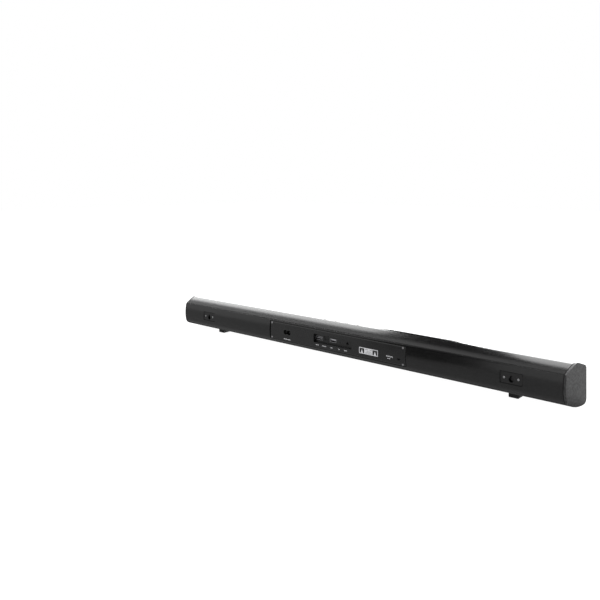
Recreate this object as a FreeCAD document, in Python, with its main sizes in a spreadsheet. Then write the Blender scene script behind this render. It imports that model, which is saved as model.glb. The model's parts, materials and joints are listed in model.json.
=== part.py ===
import FreeCAD, Part
import math
import os
import Sketcher
from FreeCAD import Vector

# Soundbar, seen as it stands on a table: X runs along the bar, -Y is the listening side with the
# grille, +Y is the rear with the connectors, Z is up and z = 0 is the table under the rubber feet.

doc = FreeCAD.newDocument("soundbar")
sheet = doc.addObject("Spreadsheet::Sheet", "sizes")

SIZES = {
    # housing
    "half_length": 400,
    "end_angle": 9,
    "depth": 54,
    "section_height": 59.5,
    "foot_height": 5.5,
    "wall": 2.5,
    "skin": 0.8,
    "rear_radius": 65,
    "rear_centre_height": 35,
    "crown_radius": 120,
    "crown_join": 21,
    "ridge_radius": 16,
    "ridge_y": -2.9,
    "front_slope": 18.4,
    "bottom_radius": 72,
    "bottom_y": -12,
    "rear_top_round": 4,
    "front_top_round": 6,
    "front_bottom_round": 8,
    "rear_bottom_round": 13,
    "cap_thickness": 3,
    "cap_plug_depth": 6,
    "cap_plug_wall": 1.5,
    "cap_plug_gap": 0.25,
    "gasket_thickness": 0.8,
    "gasket_inset": 1.2,
    "seam_height": 53.5,
    "seam_gap": 0.4,
    "lap_depth": 3,
    "lap_thickness": 1,
    "front_split": 20,
    "baffle_thickness": 3,
    "grille_thickness": 1,
    "clearance": 0.3,
    # connector panel
    "panel_half_width": 145.6,
    "panel_low": 20.1,
    "panel_high": 50.3,
    "panel_face": 26.3,
    "panel_thickness": 2.5,
    "panel_chamfer": 1.2,
    "panel_gap": 1.3,
    "panel_frame_width": 7,
    "panel_frame_thickness": 2,
    "panel_screw_x": 141.1,
    "panel_screw_low": 22,
    "panel_screw_high": 48.1,
    "pocket_half_width": 41.3,
    "pocket_low": 28.4,
    "pocket_high": 43,
    "pocket_floor": 21,
    "pocket_wall": 1.5,
    # sockets in the pocket
    "board_top": 32.8,
    "board_thickness": 1.6,
    "socket_back": 8,
    "pairing_foot": 14.6,
    "socket_proud": 0.4,
    "aux_x": -28.5,
    "aux_height": 35.6,
    "aux_radius": 1.8,
    "aux_collar_radius": 2.6,
    "pairing_x": -14.7,
    "pairing_height": 35.5,
    "pairing_radius": 1,
    "usb_x": 1.5,
    "optical_x": 17.5,
    "hdmi_x": 33,
    "socket_gap": 0.2,
    "inlet_x": 104,
    "inlet_height": 35,
    "service_x": -133.5,
    "service_height": 29.1,
    "label_low_x": -94,
    "label_high_x": -56.8,
    "label_low": 26.1,
    "label_high": 36.2,
    "label_thickness": 0.15,
    # wall hanger plates
    "hanger_x": 316.65,
    "hanger_height": 35.2,
    "hanger_width": 32.4,
    "hanger_tall": 16.6,
    "hanger_corner": 2.5,
    "hanger_face": 26.2,
    "hanger_thickness": 1.2,
    "hanger_gap": 0.2,
    "hanger_screw_spacing": 20.9,
    "keyhole_height": 33,
    "keyhole_radius": 3.6,
    "keyhole_slot": 3.6,
    "keyhole_top": 38.8,
    "keyhole_room": 2.8,
    # feet and housing screws
    "foot_x": 308.7,
    "foot_width": 15,
    "foot_length": 17.5,
    "foot_y": -8,
    "foot_corner": 1.2,
    "boss_radius": 3,
    "boss_outer_x": 376,
    "boss_middle_x": 205,
    "boss_inner_x": 68,
    "boss_y": -5,
    "boss_foot": 11,
    "screw_seat": 8.5,
    # buttons on the ridge
    "button_pitch": 24,
    "button_radius": 4.5,
    "button_flange": 6.2,
    "button_flange_low": 59.4,
    "button_top": 64.8,
    "button_travel": 0.5,
    "button_clearance": 0.25,
    "button_board_top": 54.1,
    # drivers
    "woofer_x": 290,
    "driver_height": 33,
    "woofer_width": 100,
    "woofer_tall": 44,
    "surround_width": 86,
    "surround_tall": 37,
    "cone_width": 76,
    "cone_tall": 27,
    "cone_depth": 6.5,
    "coil_radius": 9.5,
    "woofer_magnet_radius": 14.5,
    "tweeter_x": 365,
    "tweeter_radius": 18.5,
    "dome_radius": 10,
    "box_low_x": 214,
    "box_high_x": 346,
    "box_rear": 13,
    "box_high": 54,
    # power supply
    "power_low_x": 78,
    "power_high_x": 195,
    "power_board_top": 17.6,
    "wireless_x": -105,
    "wireless_y": -4,
    "wireless_board_low": 14,
    "wireless_board_top": 15.2,
}

for row, (alias, number) in enumerate(SIZES.items(), start=1):
    sheet.set(f"A{row}", alias.replace("_", " "))
    sheet.set(f"B{row}", str(number))
    sheet.setAlias(f"B{row}", alias)
doc.recompute()

PLANES = {"x": "YZ_Plane", "y": "XZ_Plane", "z": "XY_Plane"}
TURNS = {
    "x": FreeCAD.Rotation(Vector(0, 1, 0), 90),
    "y": FreeCAD.Rotation(Vector(1, 0, 0), -90),
    "-y": FreeCAD.Rotation(Vector(1, 0, 0), 90),
    "z": FreeCAD.Rotation(),
    "-z": FreeCAD.Rotation(Vector(1, 0, 0), 180),
}
SIDES = (("left", -1), ("right", 1))

parts = {}


# ---------------------------------------------------------------- helpers

def s(text):
    """An expression with each $name turned into the spreadsheet cell of that name."""
    return str(text).replace("$", "sizes.")


def place(thing, at, rotation=FreeCAD.Rotation()):
    thing.Placement = FreeCAD.Placement(Vector(), rotation)
    for axis, value in zip("xyz", at):
        thing.setExpression(f"Placement.Base.{axis}", s(value))
    return thing


def node(name, thing):
    """Declares the sub-part that is exported under this name."""
    thing.Label = name
    parts[name] = thing
    return thing


def block(label, x, y, z):
    """A box between a low and a high expression along each axis."""
    box = doc.addObject("Part::Box", "box")
    box.Label = label
    for size, (low, high) in zip(("Length", "Width", "Height"), (x, y, z)):
        box.setExpression(size, s(f"({high}) - ({low})"))
    return place(box, (x[0], y[0], z[0]))


def rod(label, radius, axis, at, length):
    """A cylinder that starts at a point and runs along an axis."""
    cylinder = doc.addObject("Part::Cylinder", "rod")
    cylinder.Label = label
    cylinder.setExpression("Radius", s(radius))
    cylinder.setExpression("Height", s(length))
    return place(cylinder, at, TURNS[axis])


def joined(label, pieces):
    fuse = doc.addObject("Part::MultiFuse", "joined")
    fuse.Label = label
    fuse.Shapes = pieces
    return fuse


def together(label, pieces):
    """Separate solids kept side by side in one sub-part."""
    compound = doc.addObject("Part::Compound", "together")
    compound.Label = label
    compound.Links = pieces
    return compound


def shared(label, pieces):
    common = doc.addObject("Part::MultiCommon", "shared")
    common.Label = label
    common.Shapes = pieces
    return common


def cut(label, base, tools):
    result = doc.addObject("Part::Cut", "cut")
    result.Label = label
    result.Base = base
    result.Tool = tools[0] if len(tools) == 1 else joined(f"{label} tools", tools)
    return result


def body_with_sketch(label, facing):
    body = doc.addObject("PartDesign::Body", "body")
    body.Label = label
    sketch = body.newObject("Sketcher::SketchObject", "sketch")
    plane = [f for f in body.Origin.OriginFeatures if f.Role == PLANES[facing]][0]
    sketch.AttachmentSupport = (plane, [""])
    sketch.MapMode = "FlatFace"
    return body, sketch


def dimension(sketch, name, expression, *constraint):
    index = sketch.addConstraint(Sketcher.Constraint(*constraint))
    sketch.renameConstraint(index, name)
    sketch.setExpression(f"Constraints.{name}", s(expression))


def draw_polygon(sketch, corners):
    """A closed outline whose every corner is dimensioned from the sketch's origin."""
    count = len(corners)
    turn = [2 * math.pi * i / count for i in range(count)]
    start = [Vector(math.cos(a), math.sin(a), 0) for a in turn]
    for i in range(count):
        sketch.addGeometry(Part.LineSegment(start[i], start[(i + 1) % count]), False)
    for i in range(count):
        sketch.addConstraint(Sketcher.Constraint("Coincident", i, 2, (i + 1) % count, 1))
    for i, (across, up) in enumerate(corners):
        dimension(sketch, f"across{i}", across, "DistanceX", -1, 1, i, 1, start[i].x)
        dimension(sketch, f"up{i}", up, "DistanceY", -1, 1, i, 1, start[i].y)


def draw_slot(sketch, width, tall):
    """A racetrack outline centred on the origin: two straight sides and two half circles."""
    radius = 15
    reach = 10
    upright = Vector(0, 0, 1)
    right_circle = Part.Circle(Vector(reach, 0, 0), upright, radius)
    left_circle = Part.Circle(Vector(-reach, 0, 0), upright, radius)
    right = sketch.addGeometry(Part.ArcOfCircle(right_circle, -math.pi / 2, math.pi / 2), False)
    top = sketch.addGeometry(Part.LineSegment(Vector(reach, radius, 0), Vector(-reach, radius, 0)), False)
    left = sketch.addGeometry(Part.ArcOfCircle(left_circle, math.pi / 2, 3 * math.pi / 2), False)
    low = sketch.addGeometry(Part.LineSegment(Vector(-reach, -radius, 0), Vector(reach, -radius, 0)), False)
    for a, b in ((right, top), (top, left), (left, low), (low, right)):
        sketch.addConstraint(Sketcher.Constraint("Coincident", a, 2, b, 1))
    for arc in (right, left):
        for end in (1, 2):
            sketch.addConstraint(Sketcher.Constraint("Vertical", arc, end, arc, 3))
    sketch.addConstraint(Sketcher.Constraint("Equal", right, left))
    sketch.addConstraint(Sketcher.Constraint("Symmetric", right, 3, left, 3, -1, 1))
    sketch.addConstraint(Sketcher.Constraint("PointOnObject", right, 3, -1))
    dimension(sketch, "end_radius", f"({tall}) / 2", "Radius", right, radius)
    dimension(sketch, "reach", f"({width}) / 2 - ({tall}) / 2", "DistanceX", -1, 1, right, 3, reach)


def pad(body, sketch, length):
    """Pads a sketch evenly to both sides of its plane."""
    feature = body.newObject("PartDesign::Pad", "pad")
    feature.Profile = sketch
    feature.SideType = "Symmetric"
    feature.setExpression("Length", s(length))
    doc.recompute()
    return feature


def round_edges(body, feature, wanted, radius, kind="PartDesign::Fillet"):
    """Rounds (or chamfers) every edge of a feature that the test function wants."""
    names = [f"Edge{i}" for i, edge in enumerate(feature.Shape.Edges, start=1) if wanted(edge)]
    dressing = body.newObject(kind, "edges")
    dressing.Base = (feature, names)
    dressing.setExpression("Radius" if kind.endswith("Fillet") else "Size", s(radius))
    doc.recompute()
    return dressing


def runs_along(edge, axis):
    box = edge.BoundBox
    spans = {"x": box.XLength, "y": box.YLength, "z": box.ZLength}
    length = spans.pop(axis)
    return length > 1e-3 and max(spans.values()) < 1e-3


def lies_on(edge, axis, place_on_axis):
    box = edge.BoundBox
    low = {"x": box.XMin, "y": box.YMin, "z": box.ZMin}[axis]
    high = {"x": box.XMax, "y": box.YMax, "z": box.ZMax}[axis]
    return abs(low - place_on_axis) < 1e-4 and abs(high - place_on_axis) < 1e-4


def plate(label, facing, width, tall, thick, corner, at, bevel=None, bevel_side=1):
    """A flat plate with rounded corners, centred on a point; one rim can be bevelled."""
    body, sketch = body_with_sketch(label, facing)
    half = [f"({width}) / 2", f"({tall}) / 2"]
    signs = ((1, 1), (-1, 1), (-1, -1), (1, -1))
    draw_polygon(sketch, [(f"{a} * {half[0]}", f"{b} * {half[1]}") for a, b in signs])
    solid = pad(body, sketch, thick)
    if corner:
        solid = round_edges(body, solid, lambda edge: runs_along(edge, facing), corner)
    if bevel:
        box = solid.Shape.BoundBox
        low, high = {"x": (box.XMin, box.XMax), "y": (box.YMin, box.YMax), "z": (box.ZMin, box.ZMax)}[facing]
        rim = high if bevel_side > 0 else low
        round_edges(body, solid, lambda edge: lies_on(edge, facing, rim), bevel, "PartDesign::Chamfer")
    return place(body, at)


def racetrack(label, width, tall, thick, at):
    """A racetrack-shaped plate that faces along Y, centred on a point."""
    body, sketch = body_with_sketch(label, "y")
    draw_slot(sketch, width, tall)
    pad(body, sketch, thick)
    return place(body, at)


def turned(label, outline, axis, at):
    """A solid of revolution; the outline's corners are pairs of radius and height along the axis."""
    body, sketch = body_with_sketch(label, "y")
    draw_polygon(sketch, outline)
    feature = body.newObject("PartDesign::Revolution", "turn")
    feature.Profile = sketch
    feature.ReferenceAxis = (sketch, ["V_Axis"])
    feature.Angle = 360
    doc.recompute()
    return place(body, at, TURNS[axis])


def ring(label, outer, inner, axis, at, length):
    outline = [(inner, "0"), (outer, "0"), (outer, length), (inner, length)]
    return turned(label, outline, axis, at)


def screw(label, head_radius, head_height, shank_radius, length, axis, at):
    """A pan head screw; its point of reference is under the head and it bites along -axis."""
    outline = [
        ("0", f"-({length})"),
        (shank_radius, f"-({length})"),
        (shank_radius, "0"),
        (head_radius, "0"),
        (head_radius, f"({head_height}) * 0.6"),
        (f"({head_radius}) * 0.75", head_height),
        ("0", head_height),
    ]
    blank = turned(f"{label} blank", outline, axis, at)
    arms = []
    for arm, (wide, deep) in enumerate((("1.1", "0.26"), ("0.26", "1.1"))):
        bit = doc.addObject("Part::Box", "bit")
        for size, value in zip(("Length", "Width"), (wide, deep)):
            bit.setExpression(size, s(f"({head_radius}) * {value}"))
        bit.setExpression("Height", s(f"({head_height}) * 0.7"))
        holder = doc.addObject("Part::Compound", "recess arm")
        bit.setExpression("Placement.Base.x", s(f"-({head_radius}) * {wide} / 2"))
        bit.setExpression("Placement.Base.y", s(f"-({head_radius}) * {deep} / 2"))
        bit.setExpression("Placement.Base.z", s(f"({head_height}) * 0.45"))
        holder.Links = [bit]
        arms.append(place(holder, at, TURNS[axis]))
    return cut(label, blank, arms)


# ---------------------------------------------------------------- housing forms

def crossings(centre, radius, other_centre, other_radius):
    """The two points where two circles meet."""
    apart = other_centre - centre
    along = (radius ** 2 - other_radius ** 2 + apart.Length ** 2) / (2 * apart.Length)
    aside = math.sqrt(radius ** 2 - along ** 2)
    unit = apart / apart.Length
    normal = Vector(unit.y, -unit.x, 0)
    middle = centre + unit * along
    return middle + normal * aside, middle - normal * aside


def arc_between(centre, radius, start, end):
    """An arc that runs anticlockwise from one point to another."""
    angles = [math.atan2(point.y - centre.y, point.x - centre.x) for point in (start, end)]
    return Part.ArcOfCircle(Part.Circle(centre, Vector(0, 0, 1), radius), *angles)


def section_form(label, inset):
    """The bar's cross-section, inset from the outer skin and drawn out along the bar."""
    v = SIZES
    ridge_height = v["foot_height"] + v["section_height"] - v["ridge_radius"]
    rear_centre = Vector(v["depth"] / 2 - v["rear_radius"], v["rear_centre_height"], 0)
    ridge_centre = Vector(v["ridge_y"], ridge_height, 0)
    bottom_centre = Vector(v["bottom_y"], v["foot_height"] + v["bottom_radius"], 0)
    rear_radius = v["rear_radius"] - inset
    ridge_radius = v["ridge_radius"] - inset
    bottom_radius = v["bottom_radius"] - inset
    crown_join = math.radians(v["crown_join"])
    front_slope = math.radians(v["front_slope"])
    front = inset - v["depth"] / 2

    toward_crown = Vector(math.sin(crown_join), math.cos(crown_join), 0)
    crown_centre = ridge_centre - toward_crown * (v["crown_radius"] - v["ridge_radius"])
    crown_radius = v["crown_radius"] - inset
    ridge_rear = ridge_centre + toward_crown * ridge_radius
    ridge_front = ridge_centre + Vector(-math.sin(front_slope), math.cos(front_slope), 0) * ridge_radius
    rear_top = max(crossings(rear_centre, rear_radius, crown_centre, crown_radius), key=lambda point: point.x)
    front_top = Vector(front, ridge_front.y - (ridge_front.x - front) * math.tan(front_slope), 0)
    drop = math.sqrt(bottom_radius ** 2 - (front - bottom_centre.x) ** 2)
    front_low = Vector(front, bottom_centre.y - drop, 0)
    meetings = crossings(rear_centre, rear_radius, bottom_centre, bottom_radius)
    rear_low = max(meetings, key=lambda point: point.x)

    body, sketch = body_with_sketch(label, "x")
    rear = sketch.addGeometry(arc_between(rear_centre, rear_radius, rear_low, rear_top), False)
    crown = sketch.addGeometry(arc_between(crown_centre, crown_radius, rear_top, ridge_rear), False)
    ridge = sketch.addGeometry(arc_between(ridge_centre, ridge_radius, ridge_rear, ridge_front), False)
    front_line = sketch.addGeometry(Part.LineSegment(ridge_front, front_top), False)
    face = sketch.addGeometry(Part.LineSegment(front_top, front_low), False)
    bottom = sketch.addGeometry(arc_between(bottom_centre, bottom_radius, front_low, rear_low), False)
    outline = (rear, crown, ridge, front_line, face, bottom)
    for i, edge in enumerate(outline):
        sketch.addConstraint(Sketcher.Constraint("Coincident", edge, 2, outline[(i + 1) % len(outline)], 1))
    sketch.addConstraint(Sketcher.Constraint("Vertical", face))
    ridge_up = "$foot_height + $section_height - $ridge_radius"
    bottom_up = "$foot_height + $bottom_radius"
    arcs = (
        ("rear", rear, rear_radius, rear_centre, "$depth / 2 - $rear_radius", "$rear_centre_height"),
        ("ridge", ridge, ridge_radius, ridge_centre, "$ridge_y", ridge_up),
        ("bottom", bottom, bottom_radius, bottom_centre, "$bottom_y", bottom_up),
    )
    for name, arc, radius, centre, across, up in arcs:
        dimension(sketch, f"{name}_size", f"${name}_radius - {inset}", "Radius", arc, radius)
        dimension(sketch, f"{name}_across", across, "DistanceX", -1, 1, arc, 3, centre.x)
        dimension(sketch, f"{name}_up", up, "DistanceY", -1, 1, arc, 3, centre.y)
    dimension(sketch, "face_across", f"{inset} - $depth / 2", "DistanceX", -1, 1, face, 1, front)
    crown_across = "$ridge_y - ($crown_radius - $ridge_radius) * sin($crown_join)"
    crown_up = f"{ridge_up} - ($crown_radius - $ridge_radius) * cos($crown_join)"
    dimension(sketch, "crown_across", crown_across, "DistanceX", -1, 1, crown, 3, crown_centre.x)
    dimension(sketch, "crown_up", crown_up, "DistanceY", -1, 1, crown, 3, crown_centre.y)
    rear_reach = f"$ridge_y + ($ridge_radius - {inset}) * sin($crown_join)"
    front_reach = f"$ridge_y - ($ridge_radius - {inset}) * sin($front_slope)"
    dimension(sketch, "ridge_rear", rear_reach, "DistanceX", -1, 1, ridge, 1, ridge_rear.x)
    dimension(sketch, "ridge_front", front_reach, "DistanceX", -1, 1, ridge, 2, ridge_front.x)
    dimension(sketch, "front_fall", "180 + $front_slope", "Angle", front_line, math.pi + front_slope)

    solid = pad(body, sketch, "2 * $half_length + 20")
    corners = (
        (rear_top, "rear_top_round"),
        (front_top, "front_top_round"),
        (front_low, "front_bottom_round"),
        (rear_low, "rear_bottom_round"),
    )
    smallest_round = 0.5
    for corner, cell in corners:
        def at_corner(edge, corner=corner):
            centre = edge.BoundBox.Center
            return runs_along(edge, "x") and math.hypot(centre.y - corner.x, centre.z - corner.y) < 0.1
        if v[cell] - inset > smallest_round:
            solid = round_edges(body, solid, at_corner, f"${cell} - {inset}")
    return body


def plan_form(label, offset):
    """The bar's outline from above: both ends slant, and the offset shortens it along the bar."""
    body, sketch = body_with_sketch(label, "z")
    slope = "tan($end_angle)"
    margin = 5
    front = f"$half_length - ({offset}) + {margin} * {slope}"
    rear = f"$half_length - ({offset}) - ($depth + {margin}) * {slope}"
    edge = f"$depth / 2 + {margin}"
    draw_polygon(sketch, [
        (front, f"-({edge})"),
        (rear, edge),
        (f"-({rear})", edge),
        (f"-({front})", f"-({edge})"),
    ])
    pad(body, sketch, "3 * $section_height")
    return body


wall = SIZES["wall"]
lap_inset = wall + SIZES["clearance"]
plug_inset = wall + SIZES["cap_plug_gap"]
box_inset = wall + 0.6
box_wall = 2
outer_form = section_form("outer form", 0)
inner_form = section_form("inner form", wall)
grille_form = section_form("grille inner form", SIZES["grille_thickness"])
baffle_form = section_form("baffle form", SIZES["grille_thickness"] + SIZES["clearance"])
gasket_form = section_form("gasket form", SIZES["gasket_inset"])
skin_form = section_form("form inside the skin", SIZES["skin"])
lap_form = section_form("lap outer form", lap_inset)
lap_inner_form = section_form("lap inner form", lap_inset + SIZES["lap_thickness"])
plug_form = section_form("cap plug form", plug_inset)
plug_inner_form = section_form("cap plug inner form", plug_inset + SIZES["cap_plug_wall"])
box_form = section_form("speaker box form", box_inset)
box_inner_form = section_form("speaker box inner form", box_inset + box_wall)

SLANT = "cos($end_angle)"
cap_offset = f"$cap_thickness / {SLANT}"
body_offset = f"($cap_thickness + $gasket_thickness) / {SLANT}"
plug_offset = f"($cap_thickness + $gasket_thickness + $cap_plug_depth) / {SLANT}"
full_plan = plan_form("plan of the whole bar", "0")
gasket_plan = plan_form("plan between the end caps", cap_offset)
body_plan = plan_form("plan between the gaskets", body_offset)
plug_plan = plan_form("plan between the cap plugs", plug_offset)
baffle_plan = plan_form("plan of the baffle", f"{body_offset} + $clearance")

ALONG = ("-$half_length - 10", "$half_length + 10")
BEHIND = ("-$front_split", "$depth")
TOP = "$foot_height + $section_height"

BOSSES = [
    (f"{side} * ${cell}", "$boss_y")
    for cell in ("boss_outer_x", "boss_middle_x", "boss_inner_x")
    for side in (1, -1)
]
BUTTONS = (
    ("power_button", "-1.5"),
    ("source_button", "-0.5"),
    ("volume_down_button", "0.5"),
    ("volume_up_button", "1.5"),
)
SCREW_PILOT = 1.45
SCREW_SHANK = 1.4


# ---------------------------------------------------------------- top cover

def make_top_cover():
    above_seam = block("above the seam", ALONG, BEHIND, ("$seam_height + $seam_gap", "$section_height * 2"))
    shell = cut("top shell", shared("top skin", [outer_form, body_plan, above_seam]), [inner_form])

    web_zone = block("lap web zone", ALONG, ("0", "$depth"), ("$seam_height + 1", "$seam_height + 3"))
    web = cut("lap web", shared("lap web skin", [inner_form, plug_plan, web_zone]), [lap_inner_form])
    lap_zone = block("lap zone", ALONG, ("0", "$depth"), ("$seam_height - $lap_depth", "$seam_height + 2"))
    lap = cut("lap", shared("lap skin", [lap_form, plug_plan, lap_zone]), [lap_inner_form])

    boss_length = f"{TOP} - $boss_foot"
    bosses = [rod("screw boss", "$boss_radius", "z", (x, y, "$boss_foot"), boss_length) for x, y in BOSSES]
    post_x = "2 * $button_pitch"
    posts = [
        rod("button board post", 2.5, "z", (f"{side} * {post_x}", "$ridge_y", "$button_board_top"), 12)
        for side in (1, -1)
    ]
    inside = shared("bosses inside the skin", [joined("all bosses", bosses + posts), skin_form])
    pilots = [rod("boss pilot", SCREW_PILOT, "z", (x, y, "$boss_foot - 1"), 14) for x, y in BOSSES]
    pilots += [
        rod("post pilot", 1.05, "z", (f"{side} * {post_x}", "$ridge_y", "$button_board_top - 1"), 7)
        for side in (1, -1)
    ]
    holes = [
        rod(
            f"{name} hole",
            "$button_radius + $button_clearance",
            "z",
            (f"{place_along} * $button_pitch", "$ridge_y", f"{TOP} - 6"),
            12,
        )
        for name, place_along in BUTTONS
    ]
    whole = joined("top cover with bosses", [shell, web, lap, inside])
    node("top_cover", cut("top cover", whole, pilots + holes))


make_top_cover()


# ---------------------------------------------------------------- rear cover

BOARD_UNDER = "$board_top - $board_thickness"
MAIN_POSTS = [(f"{side} * 55", y) for side in (1, -1) for y in ("-11", "9")]
POWER_POSTS = [(x, y) for x in ("$power_low_x + 4", "$power_high_x - 4") for y in ("-11", "9")]
POWER_UNDER = "$power_board_top - $board_thickness"
WIRELESS_POSTS = [(f"$wireless_x + {step}", "$wireless_y") for step in (-12, 12)]
PANEL_BACK = "$panel_face - $panel_thickness"
FRAME_BACK = f"{PANEL_BACK} - $panel_frame_thickness"
HANGER_BACK = "$hanger_face - $hanger_thickness"
PANEL_SCREWS = [
    (f"{side} * $panel_screw_x", height)
    for side in (1, -1)
    for height in ("$panel_screw_low", "$panel_screw_high")
]
HANGER_SCREWS = [
    f"{side} * ($hanger_x + {way} * $hanger_screw_spacing / 2)" for side in (1, -1) for way in (1, -1)
]


def span(middle, half):
    return (f"({middle}) - ({half})", f"({middle}) + ({half})")


def make_rear_cover():
    below_seam = block("below the seam", ALONG, BEHIND, ("0", "$seam_height"))
    shell = cut("rear shell", shared("rear skin", [outer_form, body_plan, below_seam]), [inner_form])

    frame = block(
        "panel frame",
        span("0", "$panel_half_width + 5"),
        (FRAME_BACK, "$depth / 2"),
        ("$panel_low - 5", "$seam_height - $lap_depth - 0.1"),
    )
    solids = [frame]
    for x, z in PANEL_SCREWS:
        solids.append(rod("panel screw boss", 2.3, "y", (x, f"{FRAME_BACK} - 5", z), 6))
    for _, side in SIDES:
        ledge = block(
            "hanger ledge",
            span(f"{side} * $hanger_x", "$hanger_width / 2 + 1.8"),
            (f"{HANGER_BACK} - $keyhole_room - 1.5", "$depth / 2"),
            span("$hanger_height", "$hanger_tall / 2 + 1.8"),
        )
        solids.append(ledge)
    post_low = "$foot_height + 2"
    for label, radius, places, board_under in (
        ("main board post", 2.5, MAIN_POSTS, BOARD_UNDER),
        ("power board post", 2.5, POWER_POSTS, POWER_UNDER),
        ("wireless post", 2, WIRELESS_POSTS, "$wireless_board_low"),
    ):
        for x, y in places:
            solids.append(rod(label, radius, "z", (x, y, post_low), f"{board_under} - ({post_low})"))
    seat_tall = "$boss_foot - $foot_height"
    for x, y in BOSSES:
        solids.append(rod("housing screw seat", "$boss_radius + 1", "z", (x, y, "$foot_height"), seat_tall))
    inside = shared("rear cover fittings", [joined("rear cover solids", solids), skin_form])

    tools = [
        block(
            "panel window",
            span("0", "$panel_half_width + $panel_gap"),
            (PANEL_BACK, "$depth"),
            ("$panel_low - $panel_gap", "$panel_high + $panel_gap"),
        ),
        block(
            "panel opening",
            span("0", "$panel_half_width - $panel_frame_width"),
            (f"{FRAME_BACK} - 10", "$depth"),
            ("$panel_low + 4.6", "$panel_high - 4.6"),
        ),
    ]
    for x, z in PANEL_SCREWS:
        tools.append(rod("panel screw pilot", 1.15, "y", (x, f"{FRAME_BACK} - 4", z), 10))
    for _, side in SIDES:
        middle = f"{side} * $hanger_x"
        tools.append(block(
            "hanger window",
            span(middle, "$hanger_width / 2 + $hanger_gap"),
            (HANGER_BACK, "$depth"),
            span("$hanger_height", "$hanger_tall / 2 + $hanger_gap"),
        ))
        tools.append(block(
            "keyhole room",
            span(middle, "6.5"),
            (f"{HANGER_BACK} - $keyhole_room", "$depth"),
            span("$hanger_height", "7"),
        ))
    for x in HANGER_SCREWS:
        tools.append(rod("hanger screw pilot", 1.15, "y", (x, f"{HANGER_BACK} - 5.5", "$hanger_height"), 8))
    for x, y in BOSSES:
        tools.append(rod("housing screw hole", 1.7, "z", (x, y, "0"), "$boss_foot + 1"))
        tools.append(rod("housing screw counterbore", 3.1, "z", (x, y, "0"), "$screw_seat"))
    for x, y in MAIN_POSTS:
        tools.append(rod("main board pilot", 1.05, "z", (x, y, f"{BOARD_UNDER} - 7"), 12))
    for x, y in POWER_POSTS:
        tools.append(rod("power board pilot", 1.05, "z", (x, y, f"{POWER_UNDER} - 6"), 12))
    for x, y in WIRELESS_POSTS:
        tools.append(rod("wireless pilot", 0.85, "z", (x, y, "$wireless_board_low - 4"), 6))
    whole = joined("rear cover with fittings", [shell, inside])
    node("rear_cover", cut("rear cover", whole, tools))


make_rear_cover()


# ---------------------------------------------------------------- end caps and gaskets

def make_ends():
    slab = cut("both cap slabs", shared("full bar", [outer_form, full_plan]), [gasket_plan])
    plug_bar = shared("cap plug bar", [plug_form, gasket_plan])
    plug_front = block("cap plug zone", ALONG, ("1 - $front_split", "$depth"), ("0", "$section_height * 2"))
    plug_skin = shared("cap plug skin", [plug_bar, plug_front])
    plugs = cut("both cap plugs", plug_skin, [plug_plan, plug_inner_form])
    caps = joined("both end caps", [slab, plugs])
    gasket_bar = shared("gasket bar", [gasket_form, gasket_plan])
    gaskets = cut("both gaskets", gasket_bar, [body_plan, inner_form])
    for name, along in (("left", ("-$half_length * 2", "0")), ("right", ("0", "$half_length * 2"))):
        half = block(f"{name} half", along, ("-$depth", "$depth"), ("-5", "$section_height * 2"))
        node(f"end_cap_{name}", shared(f"{name} cap", [caps, half]))
        node(f"end_gasket_{name}", shared(f"{name} gasket", [gaskets, half]))


make_ends()


# ---------------------------------------------------------------- baffle and grille

BAFFLE_REAR = "-$front_split"
BAFFLE_FRONT = "-$front_split - $baffle_thickness"
LENS_WIDTH = 44
LENS_TALL = 12


def make_front():
    ahead = ("-$depth", "-$front_split - $clearance")
    grille_zone = block("grille zone", ALONG, ahead, ("0", "$section_height * 2"))
    grille_skin = shared("grille skin", [outer_form, body_plan, grille_zone])
    node("front_grille", cut("grille", grille_skin, [grille_form]))

    board = block("baffle zone", ALONG, (BAFFLE_FRONT, BAFFLE_REAR), ("0", "$section_height * 2"))
    panel = shared("baffle board", [baffle_form, baffle_plan, board])
    middle = "-$front_split - $baffle_thickness / 2"
    deep = "$baffle_thickness * 2"
    lens_middle = ("0", middle, "$driver_height")
    tools = [plate("lens hole", "y", LENS_WIDTH + 0.4, LENS_TALL + 0.4, deep, 2, lens_middle)]
    for _, side in SIDES:
        x = f"{side} * $woofer_x"
        hole_middle = (x, middle, "$driver_height")
        tools.append(
            racetrack("woofer hole", "$surround_width + 1", "$surround_tall + 1", deep, hole_middle)
        )
        x = f"{side} * $tweeter_x"
        tools.append(rod("tweeter hole", 13.5, "y", (x, "-$depth / 2", "$driver_height"), "$depth / 2"))
        for dx, dz in WOOFER_SCREWS:
            at = (f"{side} * $woofer_x + {dx}", "-$depth / 2", f"$driver_height + {dz}")
            tools.append(rod("woofer screw pilot", 1.15, "y", at, "$depth / 2"))
        for dx, dz in TWEETER_SCREWS:
            at = (f"{side} * $tweeter_x + {dx}", "-$depth / 2", f"$driver_height + {dz}")
            tools.append(rod("tweeter screw pilot", 1.15, "y", at, "$depth / 2"))
    node("front_baffle", cut("baffle", panel, tools))


WOOFER_SCREWS = [(dx, dz) for dx in (-46.5, 46.5) for dz in (-18.5, 18.5)]
TWEETER_SCREWS = [(11.2, 11.2), (-11.2, -11.2)]

make_front()


# ---------------------------------------------------------------- connector panel and sockets

SOCKET_BACK = "$socket_back"
PANEL_MIDDLE = "($panel_low + $panel_high) / 2"
POCKET_MIDDLE = "($pocket_low + $pocket_high) / 2"
FLOOR_BACK = "$pocket_floor - $pocket_wall"
USB_SIZE = (13.2, 5.8)
OPTICAL_SIZE = (9.8, 9.4)
HDMI_SIZE = (15.2, 5.8)
INLET_SIZE = (24, 13.5)
SERVICE_SIZE = (5.2, 2.8)


def socket_zone(x, size, low="$board_top"):
    """The outline of a socket that stands on the main board: its x span and its height span."""
    return span(x, str(size[0] / 2)), (low, f"{low} + {size[1]}")


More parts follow.
